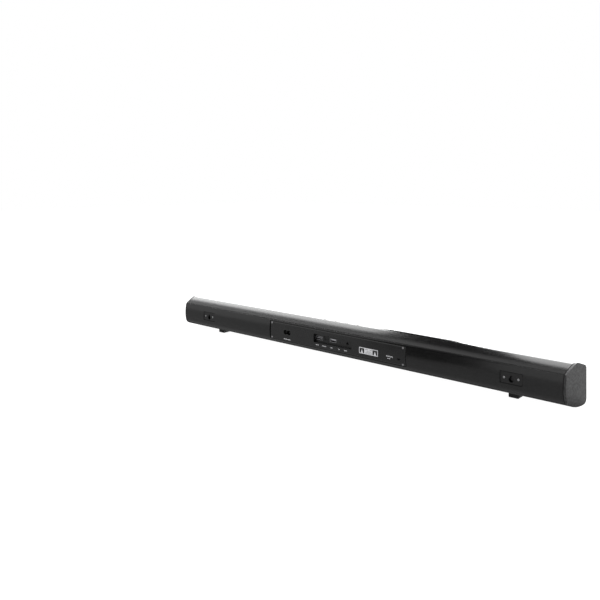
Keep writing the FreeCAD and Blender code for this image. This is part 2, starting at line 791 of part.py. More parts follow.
def grown(zone, gap):
    (x_low, x_high), (z_low, z_high) = zone
    return (f"{x_low} - {gap}", f"{x_high} + {gap}"), (f"{z_low} - {gap}", f"{z_high} + {gap}")


USB_ZONE = socket_zone("$usb_x", USB_SIZE)
OPTICAL_ZONE = socket_zone("$optical_x", OPTICAL_SIZE)
HDMI_ZONE = socket_zone("$hdmi_x", HDMI_SIZE)
SERVICE_ZONE = (
    span("$service_x", str(SERVICE_SIZE[0] / 2)),
    span("$service_height", str(SERVICE_SIZE[1] / 2)),
)


def make_panel():
    face = plate(
        "panel face",
        "y",
        "2 * $panel_half_width",
        "$panel_high - $panel_low",
        "$panel_thickness",
        2,
        ("0", "$panel_face - $panel_thickness / 2", PANEL_MIDDLE),
        bevel="$panel_chamfer",
    )
    tub = plate(
        "pocket tub",
        "y",
        "2 * ($pocket_half_width + $pocket_wall)",
        "$pocket_high - $pocket_low + 2 * $pocket_wall",
        f"{PANEL_BACK} - ({FLOOR_BACK})",
        2,
        ("0", f"({PANEL_BACK} + {FLOOR_BACK}) / 2", POCKET_MIDDLE),
    )
    tub_tools = [plate(
        "pocket room",
        "y",
        "2 * $pocket_half_width",
        "$pocket_high - $pocket_low",
        "2 * ($panel_face - $pocket_floor)",
        1,
        ("0", "$panel_face", POCKET_MIDDLE),
    )]
    through = (f"{FLOOR_BACK} - 1", "$pocket_floor + 1")
    for label, zone in (("usb", USB_ZONE), ("optical", OPTICAL_ZONE), ("hdmi", HDMI_ZONE)):
        x, z = grown(zone, "$socket_gap")
        tub_tools.append(block(f"{label} hole", x, through, z))
    for label, x, z, radius in (
        ("aux", "$aux_x", "$aux_height", "$aux_collar_radius + $socket_gap"),
        ("pairing", "$pairing_x", "$pairing_height", "$pairing_radius + $socket_gap"),
    ):
        tub_tools.append(rod(f"{label} hole", radius, "y", (x, f"{FLOOR_BACK} - 1", z), 4))
    tools = []
    across = (f"{PANEL_BACK} - 1", "$panel_face + 1")
    x, z = grown(SERVICE_ZONE, "$socket_gap")
    tools.append(block("service hole", x, across, z))
    tools.append(plate(
        "inlet hole",
        "y",
        INLET_SIZE[0] + 0.4,
        INLET_SIZE[1] + 0.4,
        10,
        1.7,
        ("$inlet_x", "$panel_face", "$inlet_height"),
    ))
    for x, z in PANEL_SCREWS:
        tools.append(rod("panel screw hole", 1.3, "y", (x, f"{PANEL_BACK} - 1", z), 5))
    window = plate(
        "pocket window",
        "y",
        "2 * $pocket_half_width",
        "$pocket_high - $pocket_low",
        "4 * $panel_thickness",
        1,
        ("0", "$panel_face", POCKET_MIDDLE),
    )
    node("connector_panel", cut("panel", face, tools + [window]))
    node("pocket_tub", cut("tub", tub, tub_tools))
    heads = [screw("panel screw", 1.6, 0.6, 1.1, 6, "y", (x, "$panel_face", z)) for x, z in PANEL_SCREWS]
    node("connector_panel_screws", together("panel screws", heads))
    label = block(
        "label",
        ("$label_low_x", "$label_high_x"),
        ("$panel_face", "$panel_face + $label_thickness"),
        ("$label_low", "$label_high"),
    )
    node("rating_label", label)


make_panel()


def shell_socket(name, zone, mouth, back, tongue, sheet_thickness=0.4):
    """A stamped socket: a thin shell open to the rear, a plastic block inside and its tongue."""
    x, z = zone
    shell = block(f"{name} shell", x, (back, mouth), z)
    (x_low, x_high), (z_low, z_high) = zone
    gap = sheet_thickness
    room = block(
        f"{name} room",
        (f"{x_low} + {gap}", f"{x_high} - {gap}"),
        (f"{back} + 3", f"{mouth} + 1"),
        (f"{z_low} + {gap}", f"{z_high} - {gap}"),
    )
    wide, low, high = tongue
    middle = f"({x_low} + {x_high}) / 2"
    tab = block(f"{name} tongue", span(middle, str(wide / 2)), (f"{back} + 2", f"{mouth} - 1.2"), (low, high))
    return joined(name, [cut(f"{name} can", shell, [room]), tab])


def make_sockets():
    usb_tongue = (11, "$board_top + 3.2", "$board_top + 4.9")
    usb = shell_socket("usb", USB_ZONE, "$pocket_floor + $socket_proud", SOCKET_BACK, usb_tongue)
    node("usb_socket", usb)
    hdmi_tongue = (11.4, "$board_top + 2.6", "$board_top + 3.5")
    hdmi = shell_socket("hdmi", HDMI_ZONE, "$pocket_floor + $socket_proud", SOCKET_BACK, hdmi_tongue)
    node("hdmi_socket", hdmi)
    service = shell_socket(
        "service",
        SERVICE_ZONE,
        "$panel_face - 0.4",
        "$panel_face - 6.4",
        (2.6, "$service_height + 0.1", "$service_height + 0.6"),
        0.3,
    )
    x_span, y_span = span("$service_x", "4.8"), ("$panel_face - 13", "$panel_face - 3.5")
    under = f"$service_height - {SERVICE_SIZE[1] / 2}"
    board = block("service board", x_span, y_span, (f"{under} - 1.2", under))
    node("service_port", together("service port", [service, board]))

    x, z = OPTICAL_ZONE
    housing = block("optical housing", x, (SOCKET_BACK, "$pocket_floor + $socket_proud"), z)
    mouth_x, mouth_z = span("$optical_x", "3.2"), span(OPTICAL_MIDDLE, "2.9")
    room = block("optical mouth", mouth_x, ("$pocket_floor - 7", "$pocket_floor + 1"), mouth_z)
    pin_x = span("$optical_x", "4")
    pin_room = rod("shutter pin room", 0.75, "x", (pin_x[0], OPTICAL_PIN_Y, OPTICAL_PIN_Z), 8)
    eye = rod("optical eye", 1.6, "y", ("$optical_x", "$pocket_floor - 7.5", OPTICAL_MIDDLE), 1.6)
    node("optical_socket", joined("optical socket", [cut("optical shell", housing, [room, pin_room]), eye]))
    flap = block(
        "shutter flap",
        span("$optical_x", "3"),
        (f"{OPTICAL_PIN_Y} - 0.25", f"{OPTICAL_PIN_Y} + 0.25"),
        (f"{OPTICAL_MIDDLE} - 2.6", OPTICAL_PIN_Z),
    )
    pin = rod("shutter pin", 0.65, "x", ("$optical_x - 3.8", OPTICAL_PIN_Y, OPTICAL_PIN_Z), 7.6)
    node("optical_shutter", joined("shutter", [flap, pin]))

    collar_long = "$pocket_floor + $socket_proud - 12"
    collar = rod("aux collar", "$aux_collar_radius", "y", ("$aux_x", "12", "$aux_height"), collar_long)
    base = block("aux block", span("$aux_x", "3"), (SOCKET_BACK, "16"), ("$board_top", "$aux_height + 2.6"))
    bore = rod("aux bore", "$aux_radius", "y", ("$aux_x", "6", "$aux_height"), 20)
    node("aux_jack", cut("aux", joined("aux solid", [collar, base]), [bore]))

    at = ("$pairing_x", "$pairing_foot", "$pairing_height")
    stem = rod("pairing stem", "$pairing_radius", "y", at, "$pocket_floor - $pairing_foot - 0.5")
    head = rod("pairing foot", 1.6, "y", at, 1.2)
    node("pairing_button", joined("pairing button solid", [stem, head]))


OPTICAL_MIDDLE = "$board_top + 4.9"
OPTICAL_PIN_Y = "$pocket_floor - 0.8"
OPTICAL_PIN_Z = f"{OPTICAL_MIDDLE} + 2.15"

make_sockets()


def make_inlet():
    """Two-pole mains inlet: a moulded block with a figure-of-eight well and two pins."""
    wide, tall = INLET_SIZE
    corner = 1.5
    nose_at = ("$inlet_x", "$panel_face - 3.8", "$inlet_height")
    flange_at = ("$inlet_x", f"{PANEL_BACK} - 0.8", "$inlet_height")
    rear_at = ("$inlet_x", f"{PANEL_BACK} - 6.5", "$inlet_height")
    front = plate("inlet nose", "y", wide, tall, 7.6, corner, nose_at)
    flange = plate("inlet flange", "y", wide + 5, tall + 4, 1.6, corner, flange_at)
    rear = plate("inlet rear", "y", wide - 2, tall - 2, 10, corner, rear_at)
    wells = [
        rod("inlet well", 4.3, "y", (f"$inlet_x + {side} * 4.3", "$panel_face - 11.5", "$inlet_height"), 14)
        for side in (1, -1)
    ]
    well_deep = ("$panel_face - 11.5", "$panel_face + 2")
    waist = block("inlet waist", span("$inlet_x", "4.3"), well_deep, span("$inlet_height", "2.6"))
    pins = [
        rod("inlet pin", 1.15, "y", (f"$inlet_x + {side} * 4.3", "$panel_face - 12", "$inlet_height"), 9.5)
        for side in (1, -1)
    ]
    shell = cut("inlet shell", joined("inlet block", [front, flange, rear]), wells + [waist])
    node("power_inlet", joined("inlet with pins", [shell] + pins))


make_inlet()


# ---------------------------------------------------------------- wall hangers, feet, housing screws

def make_hangers():
    heads = []
    for name, side in SIDES:
        middle = f"{side} * $hanger_x"
        face = plate(
            "hanger face",
            "y",
            "$hanger_width",
            "$hanger_tall",
            "$hanger_thickness",
            "$hanger_corner",
            (middle, "$hanger_face - $hanger_thickness / 2", "$hanger_height"),
            bevel=0.5,
        )
        slot_reach = "$keyhole_top - $keyhole_slot / 2"
        behind = f"{HANGER_BACK} - 1"
        tools = [
            rod("keyhole round", "$keyhole_radius", "y", (middle, behind, "$keyhole_height"), 5),
            rod("keyhole end", "$keyhole_slot / 2", "y", (middle, behind, slot_reach), 5),
            block(
                "keyhole slot",
                span(middle, "$keyhole_slot / 2"),
                (f"{HANGER_BACK} - 1", f"{HANGER_BACK} + 4"),
                ("$keyhole_height", slot_reach),
            ),
        ]
        for way in (1, -1):
            x = f"{side} * ($hanger_x + {way} * $hanger_screw_spacing / 2)"
            tools.append(rod("hanger screw hole", 1.3, "y", (x, f"{HANGER_BACK} - 1", "$hanger_height"), 5))
            heads.append(screw("hanger screw", 1.6, 0.6, 1.1, 5, "y", (x, "$hanger_face", "$hanger_height")))
        node(f"wall_hanger_{name}", cut(f"{name} hanger", face, tools))
    node("wall_hanger_screws", together("hanger screws", heads))


def make_feet():
    """Each foot is a block whose top is hollowed to the curve of the bar's underside."""
    tall = "$foot_height + 3"
    for name, side in SIDES:
        foot = plate(
            "foot blank",
            "z",
            "$foot_width",
            "$foot_length",
            tall,
            "$foot_corner",
            (f"{side} * $foot_x", "$foot_y", f"({tall}) / 2"),
            bevel=0.8,
            bevel_side=-1,
        )
        node(f"foot_{name}", cut("foot", foot, [outer_form]))


def make_housing_screws():
    screws = [
        screw("housing screw", 2.8, 1.2, SCREW_SHANK, 13, "-z", (x, y, "$screw_seat")) for x, y in BOSSES
    ]
    node("housing_screws", together("housing screws", screws))


make_hangers()
make_feet()
make_housing_screws()


# ---------------------------------------------------------------- buttons on the ridge

def make_buttons():
    board = block(
        "button board",
        span("0", "2 * $button_pitch + 4.5"),
        span("$ridge_y", "7"),
        ("$button_board_top - $board_thickness", "$button_board_top"),
    )
    post_x = [f"{side} * 2 * $button_pitch" for side in (1, -1)]
    under = "$button_board_top - $board_thickness"
    holes = [rod("button board hole", 1.2, "z", (x, "$ridge_y", f"{under} - 1"), 4) for x in post_x]
    switches = []
    plunger_top = "$button_board_top + 4.1"
    for name, place_along in BUTTONS:
        x = f"{place_along} * $button_pitch"
        can = block(
            "switch can",
            span(x, "3"),
            span("$ridge_y", "3"),
            ("$button_board_top", "$button_board_top + 3.4"),
        )
        plunger = rod("switch plunger", 1.7, "z", (x, "$ridge_y", "$button_board_top + 3.4"), 0.7)
        switches.append(joined("switch", [can, plunger]))
        stem_low = f"{plunger_top} + $button_travel + 0.1"
        outline = [
            ("0", stem_low),
            ("1.6", stem_low),
            ("1.6", "$button_flange_low"),
            ("$button_flange", "$button_flange_low"),
            ("$button_flange", "$button_flange_low + 1.1"),
            ("$button_radius", "$button_flange_low + 1.1"),
            ("$button_radius", "$button_top - 0.4"),
            ("$button_radius - 0.4", "$button_top"),
            ("0", "$button_top"),
        ]
        node(name, turned(name, outline, "z", (x, "$ridge_y", "0")))
    drilled = cut("button board drilled", board, holes)
    node("button_board", joined("button board with switches", [drilled] + switches))


make_buttons()


# ---------------------------------------------------------------- drivers

FLANGE_FRONT = f"{BAFFLE_FRONT} - 1.2"


def cone_loft(label, grow, at):
    """A racetrack cone that narrows to its voice coil, drawn out between two outlines."""
    body, wide = body_with_sketch(label, "y")
    draw_slot(wide, f"$cone_width + 2 * {grow}", f"$cone_tall + 2 * {grow}")
    plane = [f for f in body.Origin.OriginFeatures if f.Role == "XZ_Plane"][0]
    small = body.newObject("Sketcher::SketchObject", "sketch")
    small.AttachmentSupport = (plane, [""])
    small.MapMode = "FlatFace"
    small.AttachmentOffset = FreeCAD.Placement(Vector(0, 0, -SIZES["cone_depth"]), FreeCAD.Rotation())
    draw_slot(small, f"2 * $coil_radius + 4 + 2 * {grow}", f"2 * $coil_radius + 2 * {grow}")
    doc.recompute()
    loft = body.newObject("PartDesign::AdditiveLoft", "loft")
    loft.Profile = wide
    loft.Sections = [small]
    loft.Ruled = True
    doc.recompute()
    return place(body, at)


CONE_FRONT = f"{BAFFLE_FRONT} + 1"
CONE_BACK = f"{CONE_FRONT} + $cone_depth"
MAGNET_FRONT = f"{CONE_BACK} + 4"
BACK_PLATE = f"{MAGNET_FRONT} - 1.5"


def make_woofer(name, side):
    x = f"{side} * $woofer_x"
    z = "$driver_height"

    flange = plate(
        "woofer flange", "y", "$woofer_width", "$woofer_tall", 1.2, 6, (x, f"{BAFFLE_FRONT} - 0.6", z)
    )
    tub = racetrack(
        "basket tub",
        "$surround_width + 0.4",
        "$surround_tall + 0.4",
        f"{BACK_PLATE} + 1.5 - ({BAFFLE_FRONT}) + 0.6",
        (x, f"({BACK_PLATE} + 1.5 + {BAFFLE_FRONT} - 0.6) / 2", z),
    )
    room_front = f"{BAFFLE_FRONT} - 3"
    room = racetrack(
        "basket room",
        "$surround_width - 2",
        "$surround_tall - 2",
        f"{BACK_PLATE} - ({room_front})",
        (x, f"({BACK_PLATE} + {room_front}) / 2", z),
    )
    seat = racetrack("surround seat", "$surround_width", "$surround_tall", 4, (x, f"{BAFFLE_FRONT} - 1", z))
    tools = [room, seat, rod("magnet hole", "$coil_radius + 1.6", "y", (x, f"{BACK_PLATE} - 1", z), 4)]
    for dx, dz in WOOFER_SCREWS:
        tools.append(rod("flange hole", 1.35, "y", (f"{x} + {dx}", f"{BAFFLE_FRONT} - 3", f"{z} + {dz}"), 4))
    for window_x in (-26, 26):
        tools.append(block(
            "basket window",
            span(f"{x} + {window_x}", "9"),
            (f"{BACK_PLATE} - 1", f"{BACK_PLATE} + 3"),
            span(z, "10"),
        ))
    node(f"woofer_basket_{name}", cut(f"{name} basket", joined("basket solid", [flange, tub]), tools))

    surround = cut(
        "surround ring",
        racetrack(
            "surround outer",
            "$surround_width - 0.2",
            "$surround_tall - 0.2",
            0.7,
            (x, f"{CONE_FRONT} - 0.35", z),
        ),
        [racetrack("surround inner", "$cone_width - 4", "$cone_tall - 4", 3, (x, CONE_FRONT, z))],
    )
    node(f"woofer_surround_{name}", surround)

    outer = cone_loft("cone outer", 0, (x, CONE_FRONT, z))
    inner = cone_loft("cone inner", -1.1, (x, f"{CONE_FRONT} - 0.01", z))
    cap = rod("dust cap", "$coil_radius", "y", (x, f"{CONE_BACK} - 1.2", z), 1.2)
    former = ring("coil former", "$coil_radius", "$coil_radius - 0.6", "y", (x, f"{CONE_BACK} - 0.3", z), 7)
    cone = joined("cone with coil", [cut("cone shell", outer, [inner]), cap, former])
    node(f"woofer_cone_{name}", cone)

    spider_outline = [
        ("$coil_radius + 0.1", "0"),
        ("15", "0"),
        ("15", "1"),
        ("13.5", "1"),
        ("13.5", "0.5"),
        ("$coil_radius + 0.1", "0.5"),
    ]
    node(f"woofer_spider_{name}", turned("spider", spider_outline, "y", (x, f"{BACK_PLATE} - 1", z)))

    outline = [
        ("$coil_radius - 1", "0"),
        ("0", "0"),
        ("0", "16"),
        ("$woofer_magnet_radius", "16"),
        ("$woofer_magnet_radius", "0.01"),
        ("$coil_radius + 1", "0.01"),
        ("$coil_radius + 1", "11"),
        ("$coil_radius - 1", "11"),
    ]
    node(f"woofer_magnet_{name}", turned("magnet", outline, "y", (x, MAGNET_FRONT, z)))


def make_tweeter(name, side):
    x = f"{side} * $tweeter_x"
    z = "$driver_height"
    face = rod("tweeter face", "$tweeter_radius", "y", (x, f"{BAFFLE_FRONT} - 1.2", z), 1.2)
    can = rod("tweeter can", 13, "y", (x, BAFFLE_FRONT, z), 6)
    tools = [
        rod("tweeter mouth", "$dome_radius + 1.2", "y", (x, f"{BAFFLE_FRONT} - 2", z), 7),
        rod("tweeter coil hole", "$dome_radius + 0.8", "y", (x, BAFFLE_FRONT, z), 8),
    ]
    for dx, dz in TWEETER_SCREWS:
        tools.append(rod("face hole", 1.35, "y", (f"{x} + {dx}", f"{BAFFLE_FRONT} - 3", f"{z} + {dz}"), 4))
    node(f"tweeter_frame_{name}", cut(f"{name} tweeter frame", joined("tweeter solid", [face, can]), tools))

    ball = doc.addObject("Part::Sphere", "ball")
    ball.setExpression("Radius", s("$dome_radius + 3"))
    place(ball, (x, f"{BAFFLE_FRONT} + 0.6 + $dome_radius", z))
    hollow = doc.addObject("Part::Sphere", "ball")
    hollow.setExpression("Radius", s("$dome_radius + 2.6"))
    place(hollow, (x, f"{BAFFLE_FRONT} + 0.6 + $dome_radius", z))
    zone = rod("dome zone", "$dome_radius", "y", (x, "-$depth", z), f"$depth + {BAFFLE_FRONT} + 2")
    cap = shared("dome", [cut("dome skin", ball, [hollow]), zone])
    skirt = ring("dome coil", "$dome_radius", "$dome_radius - 0.4", "y", (x, f"{BAFFLE_FRONT} + 1", z), 5)
    node(f"tweeter_dome_{name}", joined(f"{name} dome", [cap, skirt]))

    outline = [
        ("0", "-2.5"),
        ("$dome_radius - 1", "-2.5"),
        ("$dome_radius - 1", "2"),
        ("$dome_radius + 1.4", "2"),
        ("$dome_radius + 1.4", "0"),
        ("13", "0"),
        ("13", "8"),
        ("0", "8"),
    ]
    node(f"tweeter_magnet_{name}", turned("tweeter magnet", outline, "y", (x, f"{BAFFLE_FRONT} + 6", z)))


def make_speaker_box(name, side):
    low, high = ("$box_low_x", "$box_high_x") if side > 0 else ("-$box_high_x", "-$box_low_x")
    zone = block("box zone", (low, high), (BAFFLE_REAR, "$box_rear"), ("0", "$box_high"))
    room_deep = (f"{BAFFLE_REAR} - 1", "$box_rear - 2")
    room = block("box room", (f"{low} + 2", f"{high} - 2"), room_deep, ("0", "$box_high - 2"))
    shell = cut(
        f"{name} box",
        shared("box skin", [box_form, zone]),
        [shared("box room skin", [box_inner_form, room])],
    )
    node(f"speaker_box_{name}", shell)


for side_name, side_sign in SIDES:
    make_woofer(side_name, side_sign)
    make_tweeter(side_name, side_sign)
    make_speaker_box(side_name, side_sign)


def make_driver_screws():
    screws = []
    for _, side in SIDES:
        for dx, dz in WOOFER_SCREWS:
            at = (f"{side} * $woofer_x + {dx}", FLANGE_FRONT, f"$driver_height + {dz}")
            screws.append(screw("woofer screw", 2.2, 1, 1.1, 4, "-y", at))
        for dx, dz in TWEETER_SCREWS:
            at = (f"{side} * $tweeter_x + {dx}", FLANGE_FRONT, f"$driver_height + {dz}")
            screws.append(screw("tweeter screw", 2, 1, 1.1, 4, "-y", at))
    node("driver_screws", together("driver screws", screws))


make_driver_screws()


# ---------------------------------------------------------------- display

def make_display():
    middle = "-$front_split - $baffle_thickness / 2"
    lens_middle = ("0", middle, "$driver_height")
    lens = plate("lens body", "y", LENS_WIDTH, LENS_TALL, "$baffle_thickness", 1.8, lens_middle)
    node("display_lens", lens)
    board_deep = (f"{BAFFLE_REAR} + 4", f"{BAFFLE_REAR} + 5.6")
    board = block("display board", span("0", "26"), board_deep, span("$driver_height", "8"))
    digit_deep = (f"{BAFFLE_REAR} + 0.4", f"{BAFFLE_REAR} + 4")
    digits = [
        block(f"digit {place_along}", span(place_along, "5"), digit_deep, span("$driver_height", "4.5"))
        for place_along in (-15, -4.5, 6)
    ]
    eye = rod("remote eye", 2.4, "y", ("17", f"{BAFFLE_REAR} + 0.8", "$driver_height"), 3.2)
    node("display_board", joined("display with digits", [board, eye] + digits))


make_display()


# ---------------------------------------------------------------- main board

def make_main_board():
    board = block("main board blank", span("0", "60"), ("-14", "18.5"), (BOARD_UNDER, "$board_top"))
    holes = [rod("main board hole", 1.2, "z", (x, y, f"{BOARD_UNDER} - 1"), 4) for x, y in MAIN_POSTS]
    node("main_board", cut("main board drilled", board, holes))
    chips = []
    for label, x, y, wide, deep, tall in (
        ("processor", -16, -3, 12, 12, 1.4),
        ("memory", -32, -4, 10, 7, 1.1),
        ("regulator", -44, 1, 6, 6, 2.2),
        ("coil one", 34, -1, 8, 8, 5),
        ("coil two", 45, -1, 8, 8, 5),
        ("power plug", 40, -10.5, 16, 5, 7),
        ("speaker plug", -40, -10.5, 12, 5, 7),
        ("button plug", -20, -11, 9, 4, 5),
    ):
        chip_tall = ("$board_top", f"$board_top + {tall}")
        chips.append(block(label, span(x, wide / 2), span(y, deep / 2), chip_tall))
    for x in (-8, 24):
        chips.append(rod("electrolytic", 3.1, "z", (x, "-10", "$board_top"), 8))
    amplifier = block("amplifier", span("8", "5"), span("-6", "5"), ("$board_top", "$board_top + 1.2"))
    switch_zone = (SOCKET_BACK, "$pairing_foot - 0.6")
    switch_tall = ("$board_top", "$board_top + 5.6")
    chips.append(block("pairing switch", span("$pairing_x", "3"), switch_zone, switch_tall))
    chips.append(amplifier)
    node("main_board_parts", together("main board parts", chips))
    base_tall = ("$board_top + 1.2", "$board_top + 3.4")
    fin_tall = ("$board_top + 3.2", "$board_top + 14")
    base = block("heatsink base", span("8", "11"), span("-6", "7.5"), base_tall)
    fins = [
        block("heatsink fin", span(8 + 3.3 * step, 0.6), span("-6", "7.5"), fin_tall)
        for step in range(-3, 4)
    ]
    node("amplifier_heatsink", joined("heatsink", [base] + fins))


def make_power_board():
    board = block(
        "power board blank",
        ("$power_low_x", "$power_high_x"),
        ("-14", "13"),
        (POWER_UNDER, "$power_board_top"),
    )
    holes = [rod("power board hole", 1.2, "z", (x, y, f"{POWER_UNDER} - 1"), 4) for x, y in POWER_POSTS]
    node("power_board", cut("power board drilled", board, holes))
    core_low = "$power_board_top + 2"
    core = block("transformer core", span("140", "13"), span("0", "6"), (core_low, f"{core_low} + 22"))
    bobbin_tall = ("$power_board_top", f"{core_low} + 18")
    bobbin = block("transformer bobbin", span("140", "9"), span("0", "11"), bobbin_tall)
    node("power_transformer", joined("transformer", [core, bobbin]))
    cans = [
        rod("bulk capacitor", 7, "z", ("116", "-2", "$power_board_top"), 26),
        rod("output capacitor", 5, "z", ("164", "-6", "$power_board_top"), 20),
        rod("output capacitor", 5, "z", ("176", "-6", "$power_board_top"), 20),
        rod("output capacitor", 5, "z", ("176", "6", "$power_board_top"), 20),
    ]
    parts_low = "$power_board_top"
    pieces = [
        block("fuse", span("92", "8"), span("9.5", "2.5"), (parts_low, f"{parts_low} + 6")),
        block("line filter", span("96", "8"), span("-4", "7"), (parts_low, f"{parts_low} + 12")),
        block("output plug", span("162", "6"), span("8", "3"), (parts_low, f"{parts_low} + 8")),
    ]
    node("power_board_parts", together("power board parts", pieces + cans))


def make_wireless():
    board = block(
        "wireless board",
        span("$wireless_x", "16"),
        span("$wireless_y", "9"),
        ("$wireless_board_low", "$wireless_board_top"),
    )
    below = "$wireless_board_low - 1"
    holes = [rod("wireless board hole", 1, "z", (x, y, below), 4) for x, y in WIRELESS_POSTS]
    can_middle = ("$wireless_x", "$wireless_y", "$wireless_board_top + 1.2")
    can = plate("wireless can", "z", 16, 14, 2.4, 1, can_middle)
    node("wireless_module", joined("wireless module", [cut("wireless board drilled", board, holes), can]))


make_main_board()
make_power_board()
make_wireless()


def make_board_screws():
    screws = [screw("main board screw", 2, 1.2, 1, 5, "z", (x, y, "$board_top")) for x, y in MAIN_POSTS]
    under = "$button_board_top - $board_thickness"
    for side in (1, -1):
        at = (f"{side} * 2 * $button_pitch", "$ridge_y", under)
        screws.append(screw("button board screw", 2, 1.2, 1, 6, "-z", at))
    for x, y in POWER_POSTS:
        screws.append(screw("power board screw", 2, 1.2, 1, 5, "z", (x, y, "$power_board_top")))
    for x, y in WIRELESS_POSTS:
        screws.append(screw("wireless screw", 1.7, 1, 0.8, 4, "z", (x, y, "$wireless_board_top")))
    node("board_screws", together("board screws", screws))


make_board_screws()


# ---------------------------------------------------------------- check and export

doc.recompute()
faults = [thing.Label for thing in doc.Objects if {"Invalid", "Error"} & set(thing.State)]
faults += [name for name, thing in parts.items() if thing.Shape.isNull() or not thing.Shape.isValid()]
if faults:
    raise RuntimeError(f"faulty objects: {faults}")

os.makedirs("parts", exist_ok=True)
for name, thing in parts.items():
    thing.Shape.exportStep(f"parts/{name}.step")
    print(name, len(thing.Shape.Solids), round(thing.Shape.Volume, 1))
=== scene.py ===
import json
import math

import bmesh
import bpy
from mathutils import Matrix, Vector


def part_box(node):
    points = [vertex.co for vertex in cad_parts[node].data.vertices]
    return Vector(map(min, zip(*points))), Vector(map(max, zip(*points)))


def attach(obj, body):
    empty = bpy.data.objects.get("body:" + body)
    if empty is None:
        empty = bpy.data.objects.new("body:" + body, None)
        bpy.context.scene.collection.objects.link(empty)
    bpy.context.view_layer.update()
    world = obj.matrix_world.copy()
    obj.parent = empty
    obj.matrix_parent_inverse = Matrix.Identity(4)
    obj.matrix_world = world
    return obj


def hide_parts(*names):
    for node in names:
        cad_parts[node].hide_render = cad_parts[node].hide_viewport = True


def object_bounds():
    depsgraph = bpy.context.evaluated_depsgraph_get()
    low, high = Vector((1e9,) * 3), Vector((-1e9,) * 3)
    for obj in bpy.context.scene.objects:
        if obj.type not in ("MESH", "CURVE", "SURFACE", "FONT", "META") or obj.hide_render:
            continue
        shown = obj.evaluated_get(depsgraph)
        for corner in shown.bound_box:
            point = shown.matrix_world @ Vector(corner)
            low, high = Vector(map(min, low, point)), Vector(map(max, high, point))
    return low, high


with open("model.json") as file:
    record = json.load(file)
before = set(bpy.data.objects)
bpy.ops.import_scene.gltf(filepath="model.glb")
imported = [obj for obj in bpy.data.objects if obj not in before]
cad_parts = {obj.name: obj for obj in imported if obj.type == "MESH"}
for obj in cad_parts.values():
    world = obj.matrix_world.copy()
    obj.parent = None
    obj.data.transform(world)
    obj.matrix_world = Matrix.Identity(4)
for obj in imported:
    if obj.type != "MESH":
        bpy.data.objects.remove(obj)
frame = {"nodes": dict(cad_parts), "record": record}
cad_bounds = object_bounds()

MM = 0.001
nodes = frame["nodes"]


# ---------------------------------------------------------------- materials

def new_material(name):
    """A material with a principled shader; returns the material, its node tree and the shader."""
    material = bpy.data.materials.new(name)
    material.use_nodes = True
    tree = material.node_tree
    return material, tree, tree.nodes["Principled BSDF"]


def link(tree, source, target):
    tree.links.new(source, target)


def noise(tree, scale, detail=3.0, stretch=(1, 1, 1)):
    """Noise in the object's own metres: a scale of 1000 gives features of about a millimetre."""
    place = tree.nodes.new("ShaderNodeTexCoord")
    mapping = tree.nodes.new("ShaderNodeMapping")
    mapping.inputs["Scale"].default_value = stretch
    texture = tree.nodes.new("ShaderNodeTexNoise")
    texture.inputs["Scale"].default_value = scale
    texture.inputs["Detail"].default_value = detail
    link(tree, place.outputs["Object"], mapping.inputs["Vector"])
    link(tree, mapping.outputs["Vector"], texture.inputs["Vector"])
    return texture.outputs["Fac"]


def spread(tree, value, low, high):
    """Maps the middle of a 0 to 1 value's range to a range of its own."""
    node = tree.nodes.new("ShaderNodeMapRange")
    node.inputs["From Min"].default_value = 0.3
    node.inputs["From Max"].default_value = 0.7
    node.inputs["To Min"].default_value = low
    node.inputs["To Max"].default_value = high
    link(tree, value, node.inputs["Value"])
    return node.outputs["Result"]


def tint(tree, value, dark, light):
    node = tree.nodes.new("ShaderNodeMix")
    node.data_type = "RGBA"
    node.inputs["A"].default_value = (*dark, 1)
    node.inputs["B"].default_value = (*light, 1)
    link(tree, value, node.inputs["Factor"])
    return node.outputs["Result"]


def grained_normal(tree, height, strength, distance, edge=0.2 * MM):
    """A bumped normal on top of softly rounded edges."""
    rounding = tree.nodes.new("ShaderNodeBevel")
    rounding.samples = 4
    rounding.inputs["Radius"].default_value = edge
    node = tree.nodes.new("ShaderNodeBump")
    node.inputs["Strength"].default_value = strength
    node.inputs["Distance"].default_value = distance
    link(tree, height, node.inputs["Height"])
    link(tree, rounding.outputs["Normal"], node.inputs["Normal"])
    return node.outputs["Normal"]


def moulded(name, dark, light, rough, grain=1400.0, grain_depth=0.02 * MM, strength=0.4, speckle=0.0):
    """Moulded plastic or paint: spark texture, faintly cloudy and speckled colour, uneven gloss."""
    material, tree, shader = new_material(name)
    fine = noise(tree, grain, 2)
    mixed = tree.nodes.new("ShaderNodeMix")
    mixed.inputs["Factor"].default_value = speckle
    link(tree, spread(tree, noise(tree, 60, 2), 0, 1), mixed.inputs["A"])
    link(tree, spread(tree, fine, 0, 1), mixed.inputs["B"])
    link(tree, tint(tree, mixed.outputs["Result"], dark, light), shader.inputs["Base Color"])
    link(tree, spread(tree, noise(tree, 220, 4), *rough), shader.inputs["Roughness"])
    link(tree, grained_normal(tree, fine, strength, grain_depth), shader.inputs["Normal"])
    shader.inputs["IOR"].default_value = 1.46
    return material


def metal(name, colour, rough, brush=(1, 1, 1), scale=900.0):
    material, tree, shader = new_material(name)
    grain = noise(tree, scale, 3, stretch=brush)
    darker = tuple(channel * 0.8 for channel in colour)
    link(tree, tint(tree, grain, darker, colour), shader.inputs["Base Color"])
    link(tree, spread(tree, grain, *rough), shader.inputs["Roughness"])
    link(tree, grained_normal(tree, grain, 0.2, 0.01 * MM, 0.05 * MM), shader.inputs["Normal"])
    shader.inputs["Metallic"].default_value = 1.0
    return material


def grey(value):
    return (value, value, value * 1.03)


